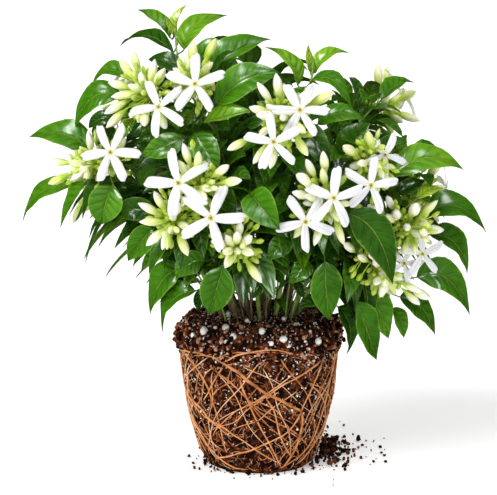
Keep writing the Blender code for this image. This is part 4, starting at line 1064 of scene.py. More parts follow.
    def set_side_buds(self):
        """Green buds in threes: two grow from the pedicel of each large one."""
        draw = np.random.default_rng(650)
        for parent in [bud for bud in self.buds if bud.large]:
            axis = (parent.tip - parent.root).normalized()
            root = parent.root.lerp(parent.tip, 0.2)
            first = axis.orthogonal().normalized()
            start = draw.random() * math.pi
            for turn in (start, start + 2.6):
                aside = Matrix.Rotation(turn, 3, axis) @ first
                heading = (axis + aside * (0.9 + 0.5 * draw.random())).normalized()
                self.set_young_bud(parent.stem, root, root + heading * some(SIDE_BUD, draw))

    def set_more_shoots(self):
        """Side shoots with pairs of leaves that fill the canopy's top and back."""
        draw = np.random.default_rng(800)
        for name, share, middle, tip in MORE_SHOOTS:
            stem = self.stems[name]
            for bend in LEAF_BENDS:
                aside = Vector((bend, bend / 2, bend / 4)) * MM
                twig = Twig(name, stem.at(share), Vector(middle) * MM + aside,
                            Vector(tip) * MM + aside, SHOOT_RADII)
                if self.placed.is_clear(*twig.sleeve(1, CLEARANCE), allowed=("stem " + name,)):
                    self.keep_shoot(stem, twig)
                    self.set_shoot_leaves(twig, SHOOT_SHARES, SHOOT_LEAF, draw)
                    break

    def set_shoot_leaves(self, twig, shares, lengths, draw):
        """Opposite pairs along a shoot, each pair square to the last."""
        for number, share in enumerate(shares):
            for side in (1, -1):
                turn = number * math.pi / 2 + 0.4
                self.try_pair_leaf(twig, share, side, turn, some(lengths, draw))

    def set_fillers(self):
        """Small pairs of leaves all along the stems, wherever they cross nothing."""
        for stem, draw in self.drawn(500):
            for share in FILLER_SHARES:
                turn = draw.random() * math.pi
                if share < BARE_SHARE and stem.name in FACE_SPRAYS:
                    continue
                for side in (1, -1):
                    self.try_pair_leaf(stem, share, side, turn, some(FILLER_LEAF, draw))

    def set_twigs(self):
        """Thin twigs that rise from the soil between the stems, with a few small leaves."""
        draw = np.random.default_rng(850)
        for _ in range(TWIGS):
            turn, lean = draw.random() * TAU, 0.1 + 0.6 * draw.random()
            out, rise = some(TWIG_FOOT, draw), some(TWIG_RISE, draw)
            way = Vector((math.cos(turn), math.sin(turn), 0))
            foot = way * out + UP * (SOIL_TOP - 4 * MM)
            skew = Vector((draw.random() - 0.5, draw.random() - 0.5, 0)) * 22 * MM
            tip = foot + UP * rise + way * (lean * rise) + skew
            middle = foot.lerp(tip, 0.5) + UP * 4 * MM - skew * 0.3
            twig = Twig("undergrowth", foot, middle, tip, TWIG_RADII)
            own = "stem undergrowth"
            if self.placed.is_clear(*twig.sleeve(0, CLEARANCE), allowed=("ball", own)):
                self.twigs.append(twig)
                self.placed.add(own, *twig.sleeve())
                self.set_shoot_leaves(twig, TWIG_SHARES, TWIG_LEAF, draw)

    def set_young_buds(self):
        """Small green buds crowded round each spray's hub."""
        for _, stem, heading, draw in self.fans(700, YOUNG_BUDS, YOUNG_TILT):
            tip = stem.hub + heading * some(YOUNG_REACH, draw) * MM
            self.set_young_bud(stem, stem.on_stalk(draw.random()), tip)


# Skins: rings of points, gathered into meshes

def units(vectors):
    """The same vectors at length one."""
    return vectors / np.linalg.norm(vectors, axis=-1, keepdims=True)


def ring_angles(sides):
    return np.arange(sides) * TAU / sides


def tube_rings(path, radii, reference, sides):
    """Rings round a path: path + radius x (side cos a + up sin a), square to its run.

    side is the run crossed with a reference direction. Leading axes are a batch of tubes.
    """
    run = units(np.gradient(path, axis=-2))
    side = units(np.cross(run, reference))
    up = np.cross(run, side)
    angles = ring_angles(sides)
    spokes = (side[..., None, :] * np.cos(angles)[:, None]
              + up[..., None, :] * np.sin(angles)[:, None])
    return path[..., None, :] + spokes * np.asarray(radii)[..., None, None]


def spokes_round(axis, sides):
    """So many directions square to an axis, at even angles, and the second of the two bases."""
    first = units(np.cross(axis, (0.3, 0.5, 0.81)))
    second = np.cross(axis, first)
    angles = ring_angles(sides)[:, None]
    return first * np.cos(angles) + second * np.sin(angles), second


def turned_rings(centre, axis, profile, sides):
    """Rings turned about an axis: centre + spoke x radius + axis x height, for each row."""
    spokes, _ = spokes_round(axis, sides)
    radii, heights = np.array(profile).T[:, :, None, None] * MM
    return centre + spokes * radii + axis * heights


def face_and_back(face, back):
    """A thin blade's numbers, row by row: over its face and back under it."""
    return np.concatenate([face, back[..., -2:0:-1]], axis=-1)


def draws_of(seed, name):
    """Random draws for a piece, from a seed and the letters of its name."""
    return np.random.default_rng(seed + sum(map(ord, name)))


def add_object(name, data):
    made = bpy.data.objects.new(name, data)
    bpy.context.scene.collection.objects.link(made)
    return made


SHARP_FROM = math.radians(62)


class Skin:
    """Closed skins gathered into one mesh, with a UV map and numbers for its materials."""

    def __init__(self):
        self.points, self.faces, self.uvs, self.slots, self.numbers = [], [], [], [], {}
        self.count = 0

    def add(self, rings, along=(0, 1), across=(0, 1), slots=0, **numbers):
        """Adds skins over rings, (..., rows, sides, 3): quads between rings and a cap at each end.

        across gives the UV's first number at each corner of a ring and once more at the end,
        along its second number at each row. A pair is the first and the last of even steps.
        slots is one material a side of the ring.
        """
        rows, sides = rings.shape[-3:-1]
        rings = rings.reshape(-1, rows, sides, 3)
        batch = len(rings)
        index = self.count + np.arange(batch * rows * sides).reshape(batch, rows, sides)
        after = np.roll(index, -1, axis=2)
        quads = np.stack([index[:, :-1], after[:, :-1], after[:, 1:], index[:, 1:]], axis=-1)
        along = np.linspace(*along, rows) if len(along) == 2 else along
        across = np.linspace(*across, sides + 1) if len(across) == 2 else across
        u = np.stack([across[:-1], across[1:], across[1:], across[:-1]], axis=-1)
        v = np.stack([along[:-1], along[:-1], along[1:], along[1:]], axis=-1)
        uv = np.stack(np.broadcast_arrays(u[None, None], v[None, :, None]), axis=-1)
        uv = np.broadcast_to(uv, (batch, *uv.shape[1:]))
        self.faces.append(quads.reshape(-1, 4))
        self.uvs.append(uv.reshape(-1, 2))
        slots = np.broadcast_to(np.asarray(slots), (batch, rows - 1, sides))
        self.slots.append(slots.reshape(-1))
        for cap, row in ((index[:, 0, ::-1], along[0]), (index[:, -1], along[-1])):
            self.faces.append(cap)
            middle = (across[0] + across[sides // 4]) / 2
            self.uvs.append(np.tile((middle, row), (cap.size, 1)))
            self.slots.append(np.full(batch, slots.flat[0]))
        self.points.append(rings.reshape(-1, 3))
        for name, value in numbers.items():
            value = np.asarray(value, float)
            value = value.reshape(value.shape + (1,) * (3 - value.ndim))
            spread = np.broadcast_to(value, (batch, rows, sides)).reshape(-1)
            self.numbers.setdefault(name, []).append(spread)
        self.count += batch * rows * sides

    def piece(self, name, finishes, slot, *nodes):
        """The gathered skins as one object that stands for the CAD nodes."""
        mesh = bpy.data.meshes.new(name)
        points = np.concatenate(self.points)
        corners = np.concatenate([face.ravel() for face in self.faces])
        sizes = np.concatenate([np.full(len(face), face.shape[1]) for face in self.faces])
        mesh.vertices.add(len(points))
        mesh.vertices.foreach_set("co", points.ravel())
        mesh.loops.add(len(corners))
        mesh.loops.foreach_set("vertex_index", corners)
        mesh.polygons.add(len(sizes))
        mesh.polygons.foreach_set("loop_start", np.cumsum(sizes) - sizes)
        mesh.polygons.foreach_set("material_index", np.concatenate(self.slots))
        mesh.update(calc_edges=True)
        mesh.uv_layers.new(name="skin").data.foreach_set("uv", np.concatenate(self.uvs).ravel())
        for number, values in self.numbers.items():
            layer = mesh.attributes.new(number, "FLOAT", "POINT")
            layer.data.foreach_set("value", np.concatenate(values))
        mesh.shade_smooth()
        mesh.set_sharp_from_angle(angle=SHARP_FROM)
        for finish in finishes:
            mesh.materials.append(finish)
        made = add_object(name, mesh)
        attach(made, "root")
        if nodes:
            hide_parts(*nodes)


def grain(points, size, seed):
    """Smooth noise from -1 to 1: random numbers on a lattice of that size, blended between."""
    cell = np.floor(points / size).astype(np.int64)
    part = points / size - cell
    fade = part * part * (3 - 2 * part)
    total = np.zeros(points.shape[:-1])
    for corner in itertools.product((0, 1), repeat=3):
        here = cell + corner
        mixed = here[..., 0] * 73856093 ^ here[..., 1] * 19349663 ^ here[..., 2] * 83492791
        mixed = (mixed ^ seed * 2654435761) & 0x7FFFFFFF
        mixed = (mixed ^ mixed >> 13) * 1274126177 & 0x7FFFFFFF
        mixed = (mixed ^ mixed >> 16) * 668265263 & 0x7FFFFFFF
        weight = np.prod(np.where(corner, fade, 1 - fade), axis=-1)
        total += weight * (mixed / 0x3FFFFFFF - 1)
    return total


# Leaves

WOOD_SIDE = np.array((0.2, 1, 0.1))
PETIOLE_ROWS = 5
PETIOLE_RADIUS = 0.55 * MM
LARGE_GRID = (18, 9)
SMALL_GRID = (8, 5)
LEAF_THICKNESS = 0.35 * MM
OUTLINE_POWERS = (0.78, 1.12)


def outline(along):
    """A leaf's half width as a share: along^a x (1 - along)^b, scaled to reach 1."""
    a, b = OUTLINE_POWERS
    peak = a / (a + b)
    return along**a * (1 - along)**b / (peak**a * (1 - peak)**b)


def carried(side, runs):
    """The side direction carried back along a path's runs, from the last to the first."""
    sides = np.empty_like(runs)
    for k in range(len(runs) - 1, -1, -1):
        side = side - runs[k] * np.dot(side, runs[k])
        side = side / np.linalg.norm(side)
        sides[k] = side
    return sides


def leaf_rings(leaf, draw, grid):
    """Rings from a leaf's root to its tip, with so many rows and columns on the blade.

    The petiole is a Bezier curve of round rings. A blade's row lies square to the midrib, at
    side x half x u + normal x half x (fold |u| - curl u^2 + ruffle |u|^3 sin(waves)).
    """
    rows, columns = grid
    fold, curl, ruffle = 0.42 + 0.36 * draw.random(), 0.16 + 0.26 * draw.random(), 0.06
    twist, droop = (draw.random() - 0.5) * 0.7, 0.08 * draw.random()
    phase = draw.random(2) * TAU
    root, foot, middle, tip = (np.array(p) for p in (leaf.root, leaf.foot, leaf.middle, leaf.tip))
    along = (1 - np.cos(np.linspace(0, np.pi, rows))) / 2
    pull = middle * 2 - (foot + tip) / 2
    rest = 1 - along[:, None]
    spine = foot * rest**2 + pull * 2 * rest * along[:, None] + tip * along[:, None]**2
    length, face = np.linalg.norm(tip - foot), np.array(leaf.normal)
    spine = spine - face * (droop * length * along**3)[:, None]
    run = units(np.gradient(spine, axis=0))
    normal = units(face - run * (run @ face)[:, None])
    side = np.cross(run, normal)
    turn = (twist * (along - 0.3))[:, None]
    side, normal = (side * np.cos(turn) + normal * np.sin(turn),
                    normal * np.cos(turn) - side * np.sin(turn))
    u = np.linspace(-1, 1, columns)
    half = (leaf.width / 2 * outline(along) + PETIOLE_RADIUS * (1 - along) ** 0.5 * 0.9)[:, None]
    half = np.maximum(half, 0.12 * MM)
    waves = np.sin(TAU * 2.3 * along[:, None] + np.where(u > 0, *phase))
    lift = half * (fold * abs(u) - curl * u * u + ruffle * abs(u) ** 3 * waves)
    low_lift = lift - LEAF_THICKNESS * (1 - u * u) - 0.5 * MM * np.exp(-((u / 0.15) ** 2)) * rest
    flat, high = face_and_back(half * u, half * u), face_and_back(lift, low_lift)
    blade = spine[:, None] + side[:, None] * flat[..., None] + normal[:, None] * high[..., None]
    return np.concatenate([petiole_rings(root, foot, run[0], side[0], np.pi / 2 * u), blade]), along


def petiole_rings(root, foot, run, side, arc):
    """Round rings from a leaf's root to its foot, with a point at each angle of a half turn."""
    share = np.linspace(0, 1, PETIOLE_ROWS, endpoint=False)[:, None]
    reach = np.linalg.norm(foot - root)
    path = cubic((root, root + (foot - root) * 0.4, foot - run * reach * 0.3, foot), share)
    runs = units(np.gradient(np.vstack([path, foot]), axis=0))[:-1]
    sides = carried(side, runs)
    ups = np.cross(sides, runs)
    flat = face_and_back(np.sin(arc), np.sin(arc))[:, None]
    high = face_and_back(np.cos(arc), -np.cos(arc))[:, None]
    return path[:, None] + PETIOLE_RADIUS * (sides[:, None] * flat + ups[:, None] * high)


def there_and_back(columns):
    """A ring's place across a thin blade: over its face and back under it."""
    return np.concatenate([np.linspace(0, 1, columns), np.linspace(1, 0, columns)[1:]])


def add_leaves(skin, plant, name, draw):
    """Each leaf of a stem, with its face in the first material and its back in the second."""
    for number, leaf in enumerate(plant.leaves):
        if leaf.stem.name != name:
            continue
        large = number < plant.large_leaves
        grid = LARGE_GRID if large else SMALL_GRID
        rings, along = leaf_rings(leaf, draw, grid)
        tone = leaf.tone
        if tone is None:
            tone = 0.1 + (0.5 if large else 0.3) * draw.random()
        skin.add(rings, along=np.concatenate([np.full(PETIOLE_ROWS, -0.02), along]),
                 across=there_and_back(grid[1]), slots=np.repeat((0, 1), grid[1] - 1),
                 tone=tone, chance=draw.random())


def add_wood(skin, wood, sides, **numbers):
    """A round stem or twig, its path's corners cut twice, each time at 1/4 and 3/4 of its runs."""
    line = np.column_stack([wood.path, wood.radii])
    for _ in range(2):
        early, late = line[:-1] * 0.75 + line[1:] * 0.25, line[:-1] * 0.25 + line[1:] * 0.75
        between = np.stack([early, late], axis=1).reshape(-1, 4)
        line = np.vstack([line[:1], between, line[-1:]])
    skin.add(tube_rings(line[:, :3], line[:, 3], WOOD_SIDE, sides), slots=2, **numbers)


def dress_stem(plant, stem, finishes):
    """A stem with its shoots and every leaf on it."""
    skin = Skin()
    youth = sum(map(ord, stem.name)) * 0.618 % 1
    add_wood(skin, stem, 9, tone=0.4, chance=youth)
    for owner, twig in plant.shoots:
        if owner is stem:
            add_wood(skin, twig, 7, tone=1.0, chance=0.5, along=(1, 1))
    add_leaves(skin, plant, stem.name, draws_of(1000, stem.name))
    name = "stem_" + stem.name
    skin.piece("leafy_" + name, finishes, "foliage", name)


def dress_twigs(plant, finishes):
    """The thin twigs between the stems, brown to green, with their leaves."""
    skin = Skin()
    draw = np.random.default_rng(4000)
    for twig in plant.twigs:
        add_wood(skin, twig, 5, tone=0.4, along=(0, draw.random()), chance=draw.random())
    add_leaves(skin, plant, "undergrowth", draw)
    skin.piece("undergrowth", finishes, "foliage")


# Buds and flowers

# Of a large bud, then of a small one: its body's rings, the sides of each and its radius
BUD_BODIES = ((9, 7, 3.1 * MM), (6, 5, 1.85 * MM))
BUD_SPREAD = 0.75
PEDICEL_ROWS = 3
# A flower's pedicel from its root to its cup, in mm
PEDICEL_RADII = (0.5, 0.45, 0.42, 0.42, 0.45, 0.55, 0.9, 1.25)
SPRAY_SIDE = np.array((0.41, 0.33, 0.85))


def body_length(bud):
    """How long a bud's body is, past its pedicel and cup."""
    length = (bud.tip - bud.root).length
    most = min(17.5 * MM, length * 0.77) if bud.large else min(6.6 * MM, length * 0.67)
    return most * bud.size


def bud_rings(bud, draw):
    """Rings from a bud's root to its tip: a fine pedicel, a cup, then a pointed spindle.

    The body's radius is R x (0.36 + 0.64 sin(90 degrees x s / 0.45)) up to s = 0.45, s from cup to
    tip, then R, and past 0.5 it is R x (1 - ((s - 0.5) / 0.5)^2.1)^0.85. The pedicel is a Bezier
    curve that brings the body round, away from the spray's own axis.
    """
    root, tip = np.array(bud.root), np.array(bud.tip)
    straight, body = units(tip - root), body_length(bud)
    axis = spread_axis(bud, straight)
    rows, sides, radius = BUD_BODIES[0] if bud.large else BUD_BODIES[1]
    radius = radius * (0.84 + 0.26 * draw.random()) * (0.2 + 0.8 * bud.size)
    s = 1 - np.linspace(1, 0, rows) ** 1.3
    swell = 0.36 + 0.64 * np.sin(np.pi / 2 * np.clip(s / 0.45, 0, 1))
    spindle = radius * swell * (1 - np.clip((s - 0.5) / 0.5, 0, 1) ** 2.1) ** 0.85
    spindle[-1] = 0.12 * MM
    stalk = np.linspace(0, 0.9, PEDICEL_ROWS)
    cup = (0.75, 1.0) if bud.large else (0.5, 0.62)
    radii = np.concatenate([np.linspace(0.38, 0.42, PEDICEL_ROWS) * MM, np.array(cup) * MM,
                            spindle])
    base = tip - axis * body
    reach = np.linalg.norm(base - root)
    pulls = root, root + straight * reach * 0.4, base - axis * reach * 0.45, base
    pedicel = cubic(pulls, np.concatenate([stalk, (0.93, 0.98)])[:, None])
    path = np.concatenate([pedicel, base + axis * (s * body)[:, None]])
    rings = tube_rings(path, radii, SPRAY_SIDE, sides)
    along = np.concatenate([np.linspace(0, 0.18, PEDICEL_ROWS), (0.22, 0.25), 0.26 + 0.74 * s])
    return rings, along


def spread_axis(bud, straight):
    """A bud's direction, turned from its straight one away from the spray's axis."""
    outward = np.array(bud.stem.outward)
    aside = straight - outward * (straight @ outward)
    return units(straight + aside * (BUD_SPREAD if bud.large else 0.3))


def calyx_teeth(centre, axis, radius, length):
    """Five thin pointed teeth that stand round a cup and lean out: (5, rows, sides, 3)."""
    out, second = spokes_round(axis, 5)
    share = np.array((0.0, 0.5, 1.0))[None, :, None]
    path = centre + out[:, None] * (radius * (0.85 + 0.9 * share**1.5)) + axis * length * share
    return tube_rings(path, np.array((0.34, 0.26, 0.06)) * MM, second + axis * 0.2, 3)


def add_green(skin, rings, along):
    skin.add(rings, along=along, tone=0.3, chance=0.5)


def add_bud(skin, bud, draw):
    rings, along = bud_rings(bud, draw)
    ripe = bud.size * (0.45 + 0.55 * draw.random()) if bud.large else 0.25 * draw.random()
    skin.add(rings, along=along, tone=ripe, chance=draw.random())
    if bud.large:
        axis = spread_axis(bud, units(np.array(bud.tip - bud.root)))
        cup = np.array(bud.tip) - axis * (body_length(bud) + 1.2 * MM)
        add_green(skin, calyx_teeth(cup, axis, 0.95 * MM, 3.4 * MM), (0.1, 0.1))


def dress_spray(plant, stem, finishes):
    """A spray: its stalk, the flowers' pedicels and cups, and its buds."""
    skin, draw = Skin(), draws_of(2000, stem.name)
    low, high = (np.array(end) for end in stem.stalk())
    path = low + (high - low) * np.linspace(0, 1, 5)[:, None]
    add_green(skin, tube_rings(path, np.linspace(0.95, 0.6, 5) * MM, SPRAY_SIDE, 7), (0.08, 0.08))
    for flower in plant.flowers:
        if flower.stem is not stem:
            continue
        facing, seat = np.array(flower.facing), np.array(flower.calyx)
        root = np.array(stem.on_stalk(0.15))
        reach = np.linalg.norm(seat - root)
        pulls = (root, root + (seat - root) * 0.3, seat - facing * min(6 * MM, reach * 0.4),
                 seat - facing * SEAT_GAP)
        path = cubic(pulls, np.linspace(0, 1, len(PEDICEL_RADII))[:, None])
        add_green(skin, tube_rings(path, np.array(PEDICEL_RADII) * MM, SPRAY_SIDE, 7), (0, 0.2))
        add_green(skin, calyx_teeth(seat - facing * 0.6 * MM, facing, 1.2 * MM, 4 * MM),
                  (0.1, 0.1))
    for bud in plant.buds:
        if bud.stem is stem:
            add_bud(skin, bud, draw)
    name = "spray_" + stem.name
    skin.piece("fine_" + name, finishes, "bud", name)


PETAL_ROWS = 13
PETAL_COLUMNS = 9
THROAT = 1.5 * MM


def petal_rings(flower, angle, draw):
    """Rings over one petal, from the throat to its blunt, slanted and notched end.

    Half width grows by a sine to 0.6 of the way out, stays, and rounds off past 0.8. The end
    is cut at reach x (1 - 0.07 |u - apex|^1.3 - notch). The face is lifted by
    half x (tilt u - roll |u|^2.5 - groove), arched up along its run and bent back at its end.
    """
    apex, notch = (draw.random() - 0.5) * 1.3, 0.03 + 0.05 * draw.random()
    back, bow = 0.02 + 0.2 * draw.random() ** 2, (draw.random() - 0.5) * 0.2
    tilt, roll = 0.3, 0.25 + 0.35 * draw.random()
    width = 0.15 * (0.92 + 0.16 * draw.random())
    v, u = np.linspace(0, 1, PETAL_ROWS)[:, None], np.linspace(-1, 1, PETAL_COLUMNS)
    swell = 0.56 + 0.44 * np.sin(np.pi / 2 * np.clip(v / 0.62, 0, 1))
    close = np.sqrt(1 - 0.42 * np.clip((v - 0.82) / 0.18, 0, 1) ** 2)
    half = flower.reach * width * swell * close
    end = (1.01 - 0.07 * abs(u - apex) ** 1.3
           - notch * np.exp(-(((u - apex + 0.5 * np.sign(apex)) / 0.25) ** 2)))
    out = THROAT + (flower.reach * end - THROAT) * v
    lift = flower.reach * (0.05 * np.sin(np.pi * v) - back * v**2.4) + 0.3 * MM
    groove = 0.32 * np.exp(-((u / 0.3) ** 2)) * (1 - 0.5 * v)
    lift = lift + half * (tilt * u * (1 - v) - roll * abs(u) ** 2.5 - groove)
    thin = 0.3 * MM * (1 - u * u)
    aside = half * u + flower.reach * bow * v * v
    across, reach, high = (face_and_back(*pair)[..., None] for pair in (
        (aside, aside), (out, out), (lift, lift - thin)))
    facing, up, right = (np.array(way) for way in (flower.facing, flower.up, flower.right))
    run = up * math.cos(angle) + right * math.sin(angle)
    return np.array(flower.centre) + run * reach + np.cross(run, facing) * across + facing * high


# Radius and height of the throat's ring and of the tube, in mm
THROAT_PROFILE = ((0.9, -1.9), (1.2, -0.7), (1.4, 0.1), (1.3, 0.48), (1.05, 0.52), (0.75, 0.25),
                  (0.6, -0.5))
TUBE_PROFILE = ((1.15, 0.0), (1.3, 1.0), (0.85, 2.4), (0.8, 6.0), (1.0, 9.0), (1.3, 10.6),
                (1.5, 11.2))


def dress_bloom(flower, finishes):
    """An open flower: its petals, the ring round its throat with painted shade in the hole, and the
    tube behind.
    """
    skin, draw = Skin(), draws_of(3000, flower.name)
    for k in range(flower.petals):
        angle = flower.roll + TAU * k / flower.petals
        rings = petal_rings(flower, angle, draw)
        skin.add(rings, across=there_and_back(PETAL_COLUMNS), chance=draw.random())
    centre, facing = np.array(flower.centre), np.array(flower.facing)
    skin.add(turned_rings(centre, facing, THROAT_PROFILE, 14), slots=1, chance=0.5)
    tube = turned_rings(np.array(flower.calyx), facing, TUBE_PROFILE, 9)
    skin.add(tube, along=(0.03, 0.03), chance=0.5)
    skin.piece("fine_" + flower.name, finishes, "petal", flower.name)


# The root ball

SOIL_ROWS = 150
SOIL_COLUMNS = 300


def soil_surface(share, bearing):
    """Points of the crumbly soil at a share of the profile, foot to crown, and a bearing.

    The profile turned about Z, pushed out along its normal by three sizes of noise that are
    strongest over the rim and the top.
    """
    profile = np.array([(radius, height) for height, radius in BALL_PROFILE] + [(0.0, SOIL_TOP)])
    steps = np.concatenate([[0], np.cumsum(np.linalg.norm(np.diff(profile, axis=0), axis=1))])
    radius, height = (np.interp(share * steps[-1], steps, column) for column in profile.T)
    slope = np.array([np.interp(share * steps[-1], steps, np.gradient(column, steps))
                      for column in profile.T])
    flat = np.stack([radius * np.cos(bearing), radius * np.sin(bearing), height], axis=-1)
    way = np.stack([slope[1] * np.cos(bearing), slope[1] * np.sin(bearing), -slope[0]], axis=-1)
    loose = np.clip((height - 78 * MM) / (14 * MM), 0, 1)
    rough = (grain(flat, 9 * MM, 1) * (0.7 + 1.3 * loose) + grain(flat, 4.2 * MM, 2)
             * (0.6 + 0.9 * loose) + grain(flat, 1.9 * MM, 3) * 0.5) * MM
    firm = np.clip(height / (5 * MM), 0, 1)
    moved = flat + way * ((rough - 0.4 * MM) * firm)[..., None]
    moved[..., 2] = np.clip(moved[..., 2], 0, None)
    return moved


CLOD_RINGS = np.radians((-58, -20, 20, 58))
BEAD_RINGS = np.radians((-76, -50, -25, 0, 25, 50, 76))
# Loose clods: how many, then least, more and power of where on the profile they lie and of
# their radius in mm, least and more of how pale they are, and how far they stand off the soil
CLODS = {
    "side_clods": (3600, (0.02, 0.58, 1), (0.6, 1.0, 1.8), (0, 0.74), 0),
    "top_clods": (5400, (0.5, 0.5, 1.35), (0.45, 1.0, 2.6), (0.1, 0.9), 0),
    "rim_clods": (800, (0.56, 0.2, 1), (0.7, 1.2, 2), (0.1, 0.9), 1),
}
SPECKS = 1500
FAR_BEADS = 14
BEAD_REACH = 46 * MM


def clods(places, radii, draw, sides=5, rings=CLOD_RINGS, rough=1.0):
    """Irregular lumps, a batch of small rough spheres: (count, rows, sides, 3).

    Each point is its place on a ball x (1 + rough x a random dent) x a random stretch.
    """
    latitude = rings[:, None]
    angles = ring_angles(sides)[None]
    ball = np.stack(np.broadcast_arrays(np.cos(latitude) * np.cos(angles),
                                        np.cos(latitude) * np.sin(angles),
                                        np.sin(latitude)), axis=-1)
    stretch = 1 + rough * (0.6 * draw.random((len(places), 1, 1, 3)) - 0.3)
    dents = 1 + rough * (0.5 * draw.random((len(places), *ball.shape[:2], 1)) - 0.28)
    turns = draw.random((len(places), 1, 1)) * TAU
    cos, sin = np.cos(turns), np.sin(turns)
    x, y, z = np.moveaxis(ball[None] * dents * stretch, -1, 0)
    shape = np.stack([x * cos - y * sin, x * sin + y * cos, z], axis=-1)
    return places[:, None, None] + shape * radii[:, None, None, None]


def bead_seat(x_px, y_px):
    """Where a bead of the picture rests: on the soil's top if it is seen there, or on its side."""
    near, far = spot(x_px, y_px, 60 * MM), spot(x_px, y_px, -60 * MM)
    place = near.lerp(far, (SOIL_TOP - near.z) / (far.z - near.z))
    if place.xy.length < BEAD_REACH:
        return place + UP * 0.8 * MM
    return on_ball(x_px, y_px, 0.7 * MM)


def spread(draw, count, least, more, power=1):
    """So many random numbers, or an array of that shape: least + more x random^power."""
    return least + more * draw.random(count) ** power


def push_out(places, by):
    """Moves places away from the ball's axis."""
    places[:, :2] *= 1 + (by / np.linalg.norm(places[:, :2], axis=1))[:, None]


def dress_soil(finishes):
    """The ball of soil."""
    share = np.linspace(0, 1, SOIL_ROWS)[:, None] ** 0.9
    bearing = ring_angles(SOIL_COLUMNS)[None]
    share, bearing = np.broadcast_arrays(share, bearing)
    skin = Skin()
    skin.add(soil_surface(share, bearing), chance=0.3)
    skin.piece("soil", finishes, "soil", "soil_ball")


def dress_clods(finishes, draw):
    """The loose clods on the ball's side, over its top and round its rim."""
    drawn = [(spread(draw, count, *share), spread(draw, count, *size))
             for count, share, size, _, _ in CLODS.values()]
    for (name, (count, _, _, pale, stand)), (shares, sizes) in zip(CLODS.items(), drawn):
        places, radii = soil_surface(shares, spread(draw, count, 0, TAU)), sizes * MM
        push_out(places, radii * stand)
        places[:, 2] = np.maximum(places[:, 2], radii * 1.36)
        chance = spread(draw, count, *pale) - 0.2 * np.clip((sizes - 0.7) / 0.4, 0, 1)
        lumps = Skin()
        lumps.add(clods(places, radii, draw), chance=chance)
        lumps.piece(name, finishes, "soil")


def dress_perlite(finishes, draw):
    """The beads that the picture shows, a few more at the back, and specks all over."""
    beads = [bead_seat(x, y) for x, y in BEADS + MORE_BEADS]
    for _ in range(FAR_BEADS):
        out, turn = (20 + 30 * draw.random()) * MM, math.radians(20 + 140 * draw.random())
        beads.append(Vector((out * math.cos(turn), out * math.sin(turn), SOIL_TOP - 1 * MM)))
    radii = spread(draw, len(beads), 1.0, 0.9) * MM
    radii[:len(BEADS)] += 1.2 * MM
    skin = Skin()
    skin.add(clods(np.array(beads), radii, draw, 12, BEAD_RINGS, 0.35),
             chance=draw.random(len(beads)))
    places = soil_surface(spread(draw, SPECKS, 0.1, 0.9, 0.6), spread(draw, SPECKS, 0, TAU))
    radii = spread(draw, SPECKS, 0.3, 0.6, 2) * MM
    push_out(places, 0.5 * MM)
    skin.add(clods(places, radii, draw), chance=draw.random(SPECKS))
    skin.piece("perlite", finishes, "soil")


def hugging_paths(bearing, height, lift):
    """Paths that lie on the ball: bearings and heights, (..., points), to places and normals."""
    heights, radii = zip(*BALL_PROFILE)
    radius = np.interp(height, heights, radii) + lift
    out = np.stack([np.cos(bearing), np.sin(bearing), np.zeros_like(bearing)], axis=-1)
    return out * radius[..., None] + np.array((0, 0, 1)) * height[..., None], out


JOINING_ROOTS = (((181, 349), (195, 352), (213, 357), (226, 364)),
                 ((225, 361), (242, 354), (262, 350), (282, 351), (301, 356), (315, 366)),
                 ((223, 368), (211, 390), (205, 400)),
                 ((266, 398), (274, 412), (280, 437), (291, 459)))
LONG_ROOTS = 64
LONG_ROOT_POINTS = 30
FIBRES = 1300
FIBRE_POINTS = 6
# Radius in mm at a root's thick end and at its thin one, and its tone
THICKEST_ROOT = (1.2, 0.7, 0.42)
MAIN_ROOT = (0.66, 0.42, 0.54)


def root_at(bearing, height):
    return hugging(Vector((math.cos(bearing), math.sin(bearing), height)), ROOT_LIFT)


def face_root(places):
    """A root's path through places in the picture."""
    path = smooth_path([on_ball(x, y, ROOT_LIFT) for x, y in places], len(places) + 4)
    return [hugging(place, ROOT_LIFT) for place in path]


def main_roots():
    """The big roots' paths: round the rim, down the face and the back, and what joins them."""
    rim, back = [], []
    for k in range(RIM_ROOT_POINTS + 1):
        bearing = TAU * k / RIM_ROOT_POINTS
        height = RIM_ROOT_HEIGHT + RIM_ROOT_RISE * max(0.0, -math.sin(bearing))
        rim.append(root_at(bearing, height + 2 * MM * math.sin(3 * bearing)))
    for k in range(BACK_ROOTS):
        start = math.radians(10 + 160 * k / (BACK_ROOTS - 1))
        sweep = math.radians(80 + 20 * math.sin(3 * k)) * (1 if k % 2 else -1)
        back.append([])
        for share in np.linspace(0, 1, BACK_ROOT_POINTS):
            height = (84 + 80 * -share + 4 * math.sin(TAU * share + k)) * MM
            back[-1].append(root_at(start + sweep * (share - 0.25), height))
    return [rim, *map(face_root, FACE_ROOTS), *back, *map(face_root, JOINING_ROOTS)]


def ends_in(count, blend):
    """1 along a root's run and down to 0 at both its ends, over a share of its length."""
    share = np.linspace(0, 1, count)
    return np.sqrt(np.clip(np.minimum(share, 1 - share) / blend, 0, 1))


